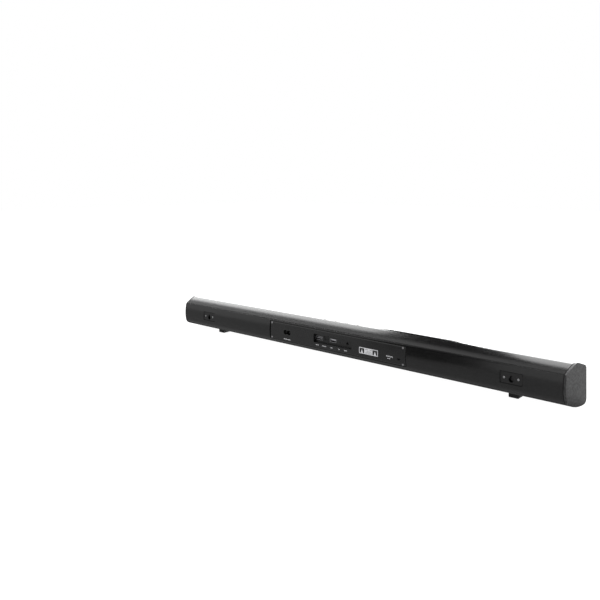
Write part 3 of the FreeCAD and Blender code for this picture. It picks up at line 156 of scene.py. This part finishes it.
top_gloss = moulded("top_gloss", grey(0.003), grey(0.005), (0.13, 0.16), 900, 0.003 * MM, 0.1, 0.3)
housing = moulded("housing_black", grey(0.002), grey(0.008), (0.22, 0.27), 620, 0.03 * MM, 0.2, 0.9)
panel = moulded("panel_black", grey(0.005), grey(0.009), (0.26, 0.32), 800, 0.02 * MM, 0.15, 0.6)
cap = moulded("cap_textured", grey(0.002), grey(0.034), (0.50, 0.60), 380, 0.3 * MM, 0.9, 1.0)
grille_paint = moulded("grille_paint", grey(0.006), grey(0.010), (0.40, 0.5), 2500, 0.01 * MM, 0.2)
rubber = moulded("foot_rubber", grey(0.001), grey(0.003), (0.45, 0.55), 1500, 0.03 * MM, 0.4)
socket_plastic = moulded("socket_plastic", grey(0.004), grey(0.008), (0.5, 0.65), 1800, 0.02 * MM, 0.3)
button_plastic = moulded("button_plastic", grey(0.012), grey(0.016), (0.3, 0.4), 2200, 0.015 * MM, 0.3)
plated = metal("plated_steel", (0.42, 0.42, 0.43), (0.3, 0.5))
gold = metal("contact_gold", (0.83, 0.62, 0.28), (0.2, 0.35), scale=2500)
socket_steel = metal("socket_steel", (0.5, 0.5, 0.52), (0.3, 0.5), brush=(0.2, 1, 1))
black_screw = metal("black_screw", (0.08, 0.08, 0.085), (0.35, 0.5))
board = moulded("circuit_board", (0.01, 0.07, 0.03), (0.015, 0.1, 0.045), (0.25, 0.4), 700, 0.02 * MM, 0.3)
dark_parts = moulded("board_parts", grey(0.02), grey(0.04), (0.35, 0.55), 900, 0.02 * MM, 0.3)
aluminium = metal("heatsink_aluminium", (0.7, 0.7, 0.72), (0.3, 0.45), brush=(1, 1, 0.1))
ferrite = moulded("ferrite", grey(0.03), grey(0.05), (0.5, 0.7), 1200, 0.03 * MM, 0.5)
cone_pulp = moulded("cone_pulp", grey(0.02), grey(0.035), (0.75, 0.9), 900, 0.08 * MM, 0.8, 0.6)
spider_dark = (0.35, 0.24, 0.10)
spider_light = (0.5, 0.36, 0.17)
spider_cloth = moulded("spider_cloth", spider_dark, spider_light, (0.8, 0.95), 1500, 0.1 * MM, 0.8, 0.5)
dome_cloth = moulded("dome_cloth", grey(0.015), grey(0.03), (0.6, 0.8), 1800, 0.05 * MM, 0.7)
box_plastic = moulded("box_plastic", grey(0.025), grey(0.035), (0.5, 0.62), 1200, 0.03 * MM, 0.5)
label_film = moulded("label_film", grey(0.45), grey(0.55), (0.35, 0.45), 1500, 0.01 * MM, 0.2)
print_ink = moulded("print_ink", grey(0.55), grey(0.65), (0.5, 0.6), 1500, 0.01 * MM, 0.2)
dark_ink = moulded("dark_ink", grey(0.006), grey(0.012), (0.4, 0.5), 1500, 0.01 * MM, 0.2)
lens = moulded("smoked_lens", grey(0.004), grey(0.006), (0.05, 0.1), 300, 0.002 * MM, 0.1)

FINISHES = {
    "top_gloss": top_gloss,
    "housing_black": housing,
    "baffle_black": grille_paint,
    "grille_steel": grille_paint,
    "panel_black": panel,
    "plated_steel": plated,
    "label_film": label_film,
    "socket_steel": socket_steel,
    "socket_plastic": socket_plastic,
    "button_plastic": button_plastic,
    "black_screw": black_screw,
    "circuit_board": board,
    "smoked_lens": lens,
    "board_parts": dark_parts,
    "heatsink_aluminium": aluminium,
    "ferrite": ferrite,
    "cap_textured": cap,
    "gasket_rubber": rubber,
    "hanger_plate": housing,
    "foot_rubber": rubber,
    "basket_steel": grille_paint,
    "surround_rubber": rubber,
    "cone_pulp": cone_pulp,
    "spider_cloth": spider_cloth,
    "dome_cloth": dome_cloth,
    "box_plastic": box_plastic,
}
for part in frame["record"]["subparts"]:
    finish = FINISHES[part["material_slot"]]
    cad_object = nodes[part["node"]]
    cad_object.data.materials.clear()
    cad_object.data.materials.append(finish)


# ---------------------------------------------------------------- pieces

def add_piece(name, corners, faces, finish, slot, body="housing", smooth=False):
    """A mesh piece in the row frame, in metres, that rides on a body and takes the given finish; the slot is
    not used.
    """
    mesh = bpy.data.meshes.new(name)
    mesh.from_pydata(corners, [], faces)
    for face in mesh.polygons:
        face.use_smooth = smooth
    mesh.materials.append(finish)
    thing = bpy.data.objects.new(name, mesh)
    bpy.context.scene.collection.objects.link(thing)
    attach(thing, body)
    return thing


def thicken(thing, thickness):
    """Gives a sheet its thickness, on the side that its faces look away from."""
    modifier = thing.modifiers.new("thickness", "SOLIDIFY")
    modifier.thickness = thickness
    modifier.offset = -1
    return modifier


BRICK = ((0, 3, 2, 1), (4, 5, 6, 7), (0, 1, 5, 4), (1, 2, 6, 5), (2, 3, 7, 6), (3, 0, 4, 7))


def bricks(spans):
    """Corners and faces of bricks, each given by its x, y and z spans in millimetres."""
    corners = []
    faces = []
    for (x0, x1), (y0, y1), (z0, z1) in spans:
        start = len(corners)
        for z in (z0, z1):
            corners += [(x0 * MM, y0 * MM, z * MM), (x1 * MM, y0 * MM, z * MM)]
            corners += [(x1 * MM, y1 * MM, z * MM), (x0 * MM, y1 * MM, z * MM)]
        faces += [tuple(start + corner for corner in face) for face in BRICK]
    return corners, faces


def box_mm(node):
    low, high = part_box(node)
    return low / MM, high / MM


# The front grille: a bent sheet with staggered holes between plain margins.

HALF_LENGTH = cad_bounds[1][0] / MM
END_SLOPE = math.tan(math.radians(9))
FRONT_SLOPE = math.radians(18.4)
TOP_ROUND = 6.0
LOW_ROUND = 8.0
# How far the centres of the two rounds stand in from the grille's box, beyond their radius.
TOP_ROUND_DROP = 0.557
LOW_ROUND_LIFT = 0.106
ROUND_STEPS = 8
SHEET_STEP = 1.25
SHEET_THICKNESS = 0.8
HOLE_RADIUS = 1.2
HOLE_SIDES = 8
PLAIN_MARGIN_ALONG = 30
PLAIN_MARGIN_AROUND = 5


def grille_profile():
    """The grille's outline as points of y and z, from its upper rear edge round to its lower one."""
    low, high = box_mm("front_grille")
    front = low.y
    top_centre = Vector((front + TOP_ROUND, high.z - TOP_ROUND - TOP_ROUND_DROP))
    low_centre = Vector((front + LOW_ROUND, low.z + LOW_ROUND - LOW_ROUND_LIFT))
    outline = [Vector((high.y, high.z))]
    for i in range(ROUND_STEPS + 1):
        angle = math.pi / 2 + FRONT_SLOPE + (math.pi / 2 - FRONT_SLOPE) * i / ROUND_STEPS
        outline.append(top_centre + Vector((math.cos(angle), math.sin(angle))) * TOP_ROUND)
    end = math.acos((high.y - low_centre.x) / LOW_ROUND)
    for i in range(ROUND_STEPS + 1):
        angle = math.pi + (math.pi - end) * i / ROUND_STEPS
        outline.append(low_centre + Vector((math.cos(angle), math.sin(angle))) * LOW_ROUND)
    return outline


def turn_from(inward, arm):
    """A corner's turn about the middle of a cut-off cell, from the way in; zero at the middle itself."""
    return -inward.angle_signed(arm, 0) if arm.length else 0


def make_grille():
    """The perforated sheet: cells with a hole each, cut-off cells at the rim, and plain margins."""
    outline = grille_profile()
    reach = [0.0]
    for a, b in zip(outline, outline[1:]):
        reach.append(reach[-1] + (b - a).length)

    def on_profile(along):
        for i in range(len(outline) - 1):
            if along <= reach[i + 1] or i == len(outline) - 2:
                part = (along - reach[i]) / (reach[i + 1] - reach[i])
                return outline[i].lerp(outline[i + 1], part)

    corners = []
    known = {}

    def corner(x, along):
        key = (round(x, 4), round(along, 4))
        if key not in known:
            known[key] = len(corners)
            point = on_profile(along)
            corners.append((x * MM, point.x * MM, point.y * MM))
        return known[key]

    rows = int((reach[-1] - PLAIN_MARGIN_AROUND) / (2 * SHEET_STEP)) // 2 * 2
    columns = int((2 * HALF_LENGTH - PLAIN_MARGIN_ALONG) / (2 * SHEET_STEP)) // 2 * 2
    x_start = -columns * SHEET_STEP
    s_start = (reach[-1] - 2 * rows * SHEET_STEP) / 2
    rim = ((2, 0), (1, 1), (0, 2), (-1, 1), (-2, 0), (-1, -1), (0, -2), (1, -1))

    def grid(a, b):
        return corner(x_start + a * SHEET_STEP, s_start + b * SHEET_STEP)

    faces = []
    for row in range(rows + 1):
        for column in range(columns + 1):
            if (row + column) % 2 == 0:
                continue
            a, b = 2 * column, 2 * row
            kept = [(a + i, b + j) for i, j in rim if 0 <= a + i <= 2 * columns and 0 <= b + j <= 2 * rows]
            ring = [grid(i, j) for i, j in kept]
            if len(ring) < len(rim):
                middle = Vector((a, b))
                inward = Vector((columns, rows)) - middle
                kept.sort(key=lambda point: turn_from(inward, Vector(point) - middle))
                faces.append([grid(i, j) for i, j in kept])
                continue
            hole = []
            for i in range(HOLE_SIDES):
                angle = 2 * math.pi * i / HOLE_SIDES
                x = x_start + a * SHEET_STEP + HOLE_RADIUS * math.cos(angle)
                along = s_start + b * SHEET_STEP + HOLE_RADIUS * math.sin(angle)
                hole.append(corner(x, along))
            for i in range(HOLE_SIDES):
                after = (i + 1) % HOLE_SIDES
                faces.append([ring[i], ring[after], hole[after], hole[i]])

    margin_rows = [0, s_start / 2, s_start]
    for side in (0, 1):
        lines = margin_rows if side == 0 else [reach[-1] - s for s in reversed(margin_rows)]
        for low_line, high_line in zip(lines, lines[1:]):
            for column in range(0, columns, 2):
                x0 = x_start + 2 * column * SHEET_STEP
                x1 = x0 + 4 * SHEET_STEP
                around = ((x0, low_line), (x1, low_line), (x1, high_line), (x0, high_line))
                faces.append([corner(x, along) for x, along in around])
    levels = margin_rows + [s_start + 4 * i * SHEET_STEP for i in range(1, rows // 2)]
    levels += [reach[-1] - s for s in reversed(margin_rows)]
    sheet_end = box_mm("front_grille")[1].x
    front = outline[len(outline) // 2].x
    for low_line, high_line in zip(levels, levels[1:]):
        for side in (-1, 1):
            inner = side * -x_start
            low_end, high_end = [
                side * (sheet_end - (on_profile(line).x - front) * END_SLOPE)
                for line in (low_line, high_line)
            ]
            around = ((inner, low_line), (low_end, low_line), (high_end, high_line), (inner, high_line))
            loop = [corner(x, along) for x, along in around]
            faces.append(loop if side > 0 else loop[::-1])
    sheet = add_piece("grille_sheet", corners, faces, grille_paint, "grille_steel")
    mesh = bmesh.new()
    mesh.from_mesh(sheet.data)
    bmesh.ops.recalc_face_normals(mesh, faces=mesh.faces)
    front_face = max(mesh.faces, key=lambda face: -face.calc_center_median().y)
    if front_face.normal.y > 0:
        bmesh.ops.reverse_faces(mesh, faces=mesh.faces)
    mesh.to_mesh(sheet.data)
    mesh.free()
    thicken(sheet, SHEET_THICKNESS * MM)
    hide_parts("front_grille")


make_grille()


# Woofers: a rubber surround and a paper cone on racetrack outlines, the cone with ribs, a dust cap and
# the coil's former.

def racetrack_point(turn, half_width, half_tall):
    """A point on a racetrack outline, spaced evenly by angle about its ends."""
    across = math.cos(turn)
    straight = math.copysign(half_width - half_tall, across)
    return Vector((straight + half_tall * across, half_tall * math.sin(turn)))


# The surround's inner edge and the cone's rim, both in from the edge of the CAD cone: the cone moves
# in front of the surround without touching it.
SURROUND_INSET = 2.0
CONE_INSET = 2.4
ROLL_HEIGHT = 1.5
ROLL_THICKNESS = 0.45
ROLL_LIP = 0.14
COIL_RADIUS = 9.5
PAPER_THICKNESS = 0.5
PAPER_SETBACK = 0.3
PAPER_TO_SPIDER = 2.6
DUST_CAP_HEIGHT = 3
RIB_HEIGHT = 0.25
RIBS = 16


def make_surround(side):
    """A rubber half roll between the basket and the cone, with a flat lip at each edge."""
    low, high = box_mm(f"woofer_surround_{side}")
    cone_low, cone_high = box_mm(f"woofer_cone_{side}")
    middle = (low + high) / 2
    outer = (high - low) / 2
    inner = (cone_high - cone_low) / 2 - Vector((SURROUND_INSET, 0, SURROUND_INSET))
    around = 96
    steps = 14
    corners = []
    for i in range(steps + 1):
        part = i / steps
        wide = inner.x + (outer.x - inner.x) * part
        tall = inner.z + (outer.z - inner.z) * part
        roll = min(1.0, max(0.0, (part - ROLL_LIP) / (1 - 2 * ROLL_LIP)))
        deep = high.y - 0.05 - ROLL_HEIGHT * math.sin(math.pi * roll)
        for j in range(around):
            point = racetrack_point(2 * math.pi * (j + 0.5) / around, wide, tall)
            corners.append(((middle.x + point.x) * MM, deep * MM, (middle.z + point.y) * MM))
    faces = []
    for i in range(steps):
        for j in range(around):
            after = (j + 1) % around
            inside, outside = i * around, (i + 1) * around
            faces.append((inside + j, outside + j, outside + after, inside + after))
    name = f"woofer_surround_{side}_roll"
    piece = add_piece(name, corners, faces, rubber, "surround_rubber", smooth=True)
    thicken(piece, ROLL_THICKNESS * MM).offset = 1
    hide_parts(f"woofer_surround_{side}")


def make_cone(side):
    """A ribbed paper cone with a hollow dust cap and the former that carries its coil."""
    low, high = box_mm(f"woofer_cone_{side}")
    middle = (low + high) / 2
    half = (high - low) / 2 - Vector((CONE_INSET, 0, CONE_INSET))
    rim = low.y + PAPER_SETBACK
    depth = box_mm(f"woofer_spider_{side}")[0].y - low.y - PAPER_TO_SPIDER
    around = 64
    cone_steps = 8
    cap_steps = 6
    corners = []
    levels = []
    for i in range(cone_steps + 1):
        part = i / cone_steps
        wide = half.x + (COIL_RADIUS + 1 - half.x) * part
        tall = half.z + (COIL_RADIUS - half.z) * part
        levels.append((wide, tall, rim + depth * part ** 0.85, RIB_HEIGHT * math.sin(math.pi * part)))
    for i in range(1, cap_steps):
        turn = i / cap_steps * math.pi / 2
        size = COIL_RADIUS * math.cos(turn)
        levels.append((size, size, rim + depth - DUST_CAP_HEIGHT * math.sin(turn), 0))
    for wide, tall, deep, rib in levels:
        for j in range(around):
            turn = 2 * math.pi * (j + 0.5) / around
            point = racetrack_point(turn, wide, tall)
            lift = rib * max(0.0, math.cos(turn * RIBS)) ** 2
            corners.append(((middle.x + point.x) * MM, (deep - lift) * MM, (middle.z + point.y) * MM))
    faces = []
    for i in range(len(levels) - 1):
        outside, inside = i * around, (i + 1) * around
        for j in range(around):
            after = (j + 1) % around
            faces.append((outside + j, outside + after, inside + after, inside + j))
    corners.append((middle.x * MM, (rim + depth - DUST_CAP_HEIGHT) * MM, middle.z * MM))
    tip = len(corners) - 1
    last = (len(levels) - 1) * around
    faces += [(last + j, last + (j + 1) % around, tip) for j in range(around)]
    start = len(corners)
    for deep in (low.y + depth, high.y):
        for j in range(around):
            turn = 2 * math.pi * j / around
            x = middle.x + COIL_RADIUS * math.cos(turn)
            z = middle.z + COIL_RADIUS * math.sin(turn)
            corners.append((x * MM, deep * MM, z * MM))
    for j in range(around):
        after = (j + 1) % around
        faces.append((start + j, start + after, start + around + after, start + around + j))
    body = f"woofer_cone_{side}"
    cone = add_piece(f"{body}_paper", corners, faces, cone_pulp, "cone_pulp", body, True)
    thicken(cone, PAPER_THICKNESS * MM)
    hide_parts(body)


for side_name in ("left", "right"):
    make_surround(side_name)
    make_cone(side_name)


# Prints on the connector panel: small raised strokes that stand for words and marks.

PRINT = 0.05
PANEL_FACE = box_mm("connector_panel")[1].y


def stroke(x_low, x_high, z_low, z_high, face=PANEL_FACE):
    """The spans of one raised stroke on a face that looks to the rear."""
    return (x_low, x_high), (face, face + PRINT), (z_low, z_high)


def word(x_low, x_high, z, tall, face=PANEL_FACE):
    """A run of uneven strokes that reads as a printed word from a step away."""
    count = max(2, round((x_high - x_low) / 1.05))
    pitch = (x_high - x_low) / count
    strokes = []
    for i in range(count):
        start = x_low + i * pitch
        rise = tall * (0.72 + 0.28 * ((i * 5) % 3) / 2)
        strokes.append(stroke(start, start + 0.36 * pitch, z, z + rise, face))
        bar = z + rise * ((i * 7) % 4) / 4
        strokes.append(stroke(start + 0.36 * pitch, start + 0.8 * pitch, bar, bar + 0.3 * tall, face))
    return strokes


def printed(name, strokes, finish=print_ink):
    add_piece(name, *bricks(strokes), finish, "label_film")


service_low, service_high = box_mm("service_port")
service_x = (service_low.x + service_high.x) / 2
inlet_low, inlet_high = box_mm("power_inlet")
inlet_x = (inlet_low.x + inlet_high.x) / 2
below = box_mm("pocket_tub")[0].z - 2.9
service_words = word(service_x + 11.0, service_x + 23.8, service_low.z + 3.1, 2.1)
service_words += word(service_x + 16.3, service_x + 21.4, service_low.z - 0.1, 1.7)
printed("service_print", service_words)
names = []
SOCKET_WORDS = (
    ("aux_jack", 6.2),
    ("pairing_button", 3.4),
    ("usb_socket", 5),
    ("optical_socket", 9),
    ("hdmi_socket", 7),
)
for node, width in SOCKET_WORDS:
    socket_low, socket_high = box_mm(node)
    centre = (socket_low.x + socket_high.x) / 2
    names += word(centre - width / 2, centre + width / 2, below, 1.7)
printed("socket_prints", names)
printed("inlet_print", word(inlet_x - 8, inlet_x + 8, inlet_low.z - 4.2, 1.8))

label_low, label_high = box_mm("rating_label")
label_face = label_high.y
LABEL_RIM = 1.1
LABEL_FIELD = 9.2
LABEL_GAP = 0.8


def label_blocks():
    """Dark fields at both ends of the label, each with a pale peak, and lines of small print between."""
    marks = []
    steps = 8
    left = label_low.x + LABEL_RIM
    right = label_high.x - LABEL_RIM
    floor = label_low.z + LABEL_RIM
    ceiling = label_high.z - LABEL_RIM
    rise = (ceiling - floor) / steps
    for start in (left, right - LABEL_FIELD):
        centre = start + LABEL_FIELD / 2
        for i in range(steps):
            low = floor + rise * i
            gap = max(0.0, 2.1 - 0.35 * i)
            marks.append(stroke(start, centre - gap, low, low + rise, label_face))
            marks.append(stroke(centre + gap, start + LABEL_FIELD, low, low + rise, label_face))
    left += LABEL_FIELD + LABEL_GAP
    right -= LABEL_FIELD + LABEL_GAP
    marks += word(left + 9, right - 1, ceiling - 1.6, 1.3, label_face)
    marks += word(left + 0.5, left + 5, ceiling - 1.8, 1.3, label_face)
    for line in range(3):
        marks += word(left + line, right - 2 * line, floor + 0.2 + 1.75 * line, 0.7, label_face)
    return marks


printed("label_print", label_blocks(), dark_ink)

# Contacts in the sockets, and marks on the buttons.

def contacts(name, node, count, pitch, wide, above):
    """A row of gold contacts on a socket's tongue, at a height above the socket's lowest point."""
    low, high = box_mm(node)
    middle = (low.x + high.x) / 2
    deep = (low.y + 3, high.y - 2)
    tall = (low.z + above, low.z + above + 0.12)
    spans = []
    for i in range(count):
        x = middle + (i - (count - 1) / 2) * pitch
        spans.append(((x - wide / 2, x + wide / 2), deep, tall))
    add_piece(name, *bricks(spans), gold, "socket_steel")


contacts("usb_contacts", "usb_socket", 4, 2.4, 1.0, 3.08)
contacts("hdmi_contacts", "hdmi_socket", 10, 1.0, 0.45, 2.48)


def ring_strokes(radius, gap_from, gap_to, wide):
    """Short strokes set round a ring, with an open part between two angles in degrees."""
    quads = []
    count = 36
    for i in range(count):
        degrees = 360 * i / count
        if gap_from <= degrees < gap_to:
            continue
        a, b = (math.radians(degrees), math.radians(degrees + 360 / count))
        quads.append([(r * math.cos(t), r * math.sin(t)) for r, t in (
            (radius, a), (radius + wide, a), (radius + wide, b), (radius, b)
        )])
    return quads


def rectangle(x0, x1, y0, y1):
    return [(x0, y0), (x1, y0), (x1, y1), (x0, y1)]


MARKS = {
    "power_button": ring_strokes(1.5, 60, 120, 0.4) + [rectangle(-0.2, 0.2, 0.6, 2.3)],
    "source_button": [
        rectangle(-1.6, 0.6, -0.2, 0.2),
        [(0.4, -1.1), (1.7, 0), (0.4, 1.1), (0.4, 0.5)],
        rectangle(-2.0, -1.6, -1.3, 1.3),
    ],
    "volume_down_button": [rectangle(-1.7, 1.7, -0.22, 0.22)],
    "volume_up_button": [
        rectangle(-1.7, 1.7, -0.22, 0.22),
        rectangle(-0.22, 0.22, 0.22, 1.7),
        rectangle(-0.22, 0.22, -1.7, -0.22),
    ],
}
for button, quads in MARKS.items():
    low, high = box_mm(button)
    middle = (low + high) / 2
    corners = []
    faces = []
    for quad in quads:
        start = len(corners)
        count = len(quad)
        for z in (high.z - 0.02, high.z + PRINT):
            corners += [((middle.x - x) * MM, (middle.y - y) * MM, z * MM) for x, y in quad]
        faces.append(tuple(start + i for i in reversed(range(count))))
        faces.append(tuple(start + count + i for i in range(count)))
        for i in range(count):
            after = (i + 1) % count
            faces.append((start + i, start + after, start + count + after, start + count + i))
    add_piece(f"{button}_mark", corners, faces, print_ink, "label_film", button)


# ---------------------------------------------------------------- camera, light and stage

def aim(thing, target):
    direction = Vector(target) - thing.location
    thing.rotation_euler = direction.to_track_quat("-Z", "Y").to_euler()


def softbox(name, at, target, size, power):
    data = bpy.data.lights.new(name, "AREA")
    data.shape = "RECTANGLE"
    data.size, data.size_y = size
    data.energy = power
    lamp = bpy.data.objects.new(name, data)
    bpy.context.scene.collection.objects.link(lamp)
    lamp.location = at
    aim(lamp, target)
    return lamp


def stage_mesh(name, corners, faces, colour, glow=0.0):
    mesh = bpy.data.meshes.new(name)
    mesh.from_pydata(corners, [], faces)
    thing = bpy.data.objects.new(name, mesh)
    bpy.context.scene.collection.objects.link(thing)
    material, tree, shader = new_material(f"{name}_paint")
    shader.inputs["Base Color"].default_value = (colour, colour, colour, 1)
    shader.inputs["Roughness"].default_value = 0.9
    shader.inputs["Specular IOR Level"].default_value = 0.0
    shader.inputs["Emission Color"].default_value = (1, 1, 1, 1)
    shader.inputs["Emission Strength"].default_value = glow
    mesh.materials.append(material)
    return thing


CAMERA_AT = Vector((-0.7043, 0.9064, 0.308))
CAMERA_HEADING = Vector((0.6618, -0.7496, 0.0))
camera_data = bpy.data.cameras.new("camera")
camera_data.lens = 39.76
camera_data.sensor_width = 36
camera_data.shift_y = -0.198
camera_data.clip_start = 0.01
camera = bpy.data.objects.new("camera", camera_data)
bpy.context.scene.collection.objects.link(camera)
camera.location = CAMERA_AT
camera.rotation_euler = CAMERA_HEADING.to_track_quat("-Z", "Y").to_euler()
bpy.context.scene.camera = camera

world = bpy.data.worlds.new("studio")
bpy.context.scene.world = world
world.use_nodes = True
background = world.node_tree.nodes["Background"]
background.inputs["Color"].default_value = (1, 1, 1, 1)
background.inputs["Strength"].default_value = 1.0

reach = 6.0
stage_mesh(
    "floor",
    [(-reach, -reach, 0), (reach, -reach, 0), (reach, reach, 0), (-reach, reach, 0)],
    [(0, 1, 2, 3)],
    0.3,
    0.97,
)

# Cards out of sight, seen only in reflections. The rear and floor cards darken what the rear reflects.
# The upright ones stand in front of the bar: two bright sets draw the streaks along the top cover,
# fading upward, a dark set parts them, and a dim one closes them above.
CARDS = (
    ("rear_card", 0.01, (-120, 16), (173, 362), (0, 390)),
    ("floor_card", 0.47, (-3000, 3000), (20, 2500), (1, 2)),
    ("under_card", 0.15, (-600, 600), (-30, 20), (1, 2)),
)
UPRIGHT_AT = -900
NEAR_END = -700
FAR_END = 4500
# Height of each band edge, with the inner edges of the near and the far bright card there.
BANDS = ((0, 210, 460), (900, 330, 700), (1600, 480, 1060), (2200, 600, 1500), (2500, 660, 1800))
BAND_GLOWS = (13.0, 9.5, 5.0, 1.8)
UPRIGHTS = [("high_card", 0.2, (NEAR_END, 2500), (FAR_END, 2500), (FAR_END, 2850), (NEAR_END, 2850))]
for band, glow in enumerate(BAND_GLOWS):
    low, near_low, far_low = BANDS[band]
    high, near_high, far_high = BANDS[band + 1]
    UPRIGHTS += [
        (f"near_card_{band}", glow, (NEAR_END, low), (near_low, low), (near_high, high), (NEAR_END, high)),
        (f"parting_card_{band}", 0.02, (near_low, low), (far_low, low), (far_high, high), (near_high, high)),
        (f"far_card_{band}", glow, (far_low, low), (FAR_END, low), (FAR_END, high), (far_high, high)),
    ]


def card(name, glow, corners, faces):
    thing = stage_mesh(name, corners, faces, 0.0, glow)
    thing.visible_camera = False
    thing.visible_diffuse = False
    thing.visible_shadow = False


for card_name, glow, *spans in CARDS:
    card(card_name, glow, *bricks([spans]))
for card_name, glow, *outline in UPRIGHTS:
    corners = [(x * MM, UPRIGHT_AT * MM, z * MM) for x, z in outline]
    card(card_name, glow, corners, [tuple(range(len(corners)))])

fill = softbox("fill_softbox", (0.3, -1.6, 1.8), (0, 0, 0), (2.0, 1.5), 20)
fill.visible_glossy = False

bpy.context.scene.view_settings.view_transform = "Standard"
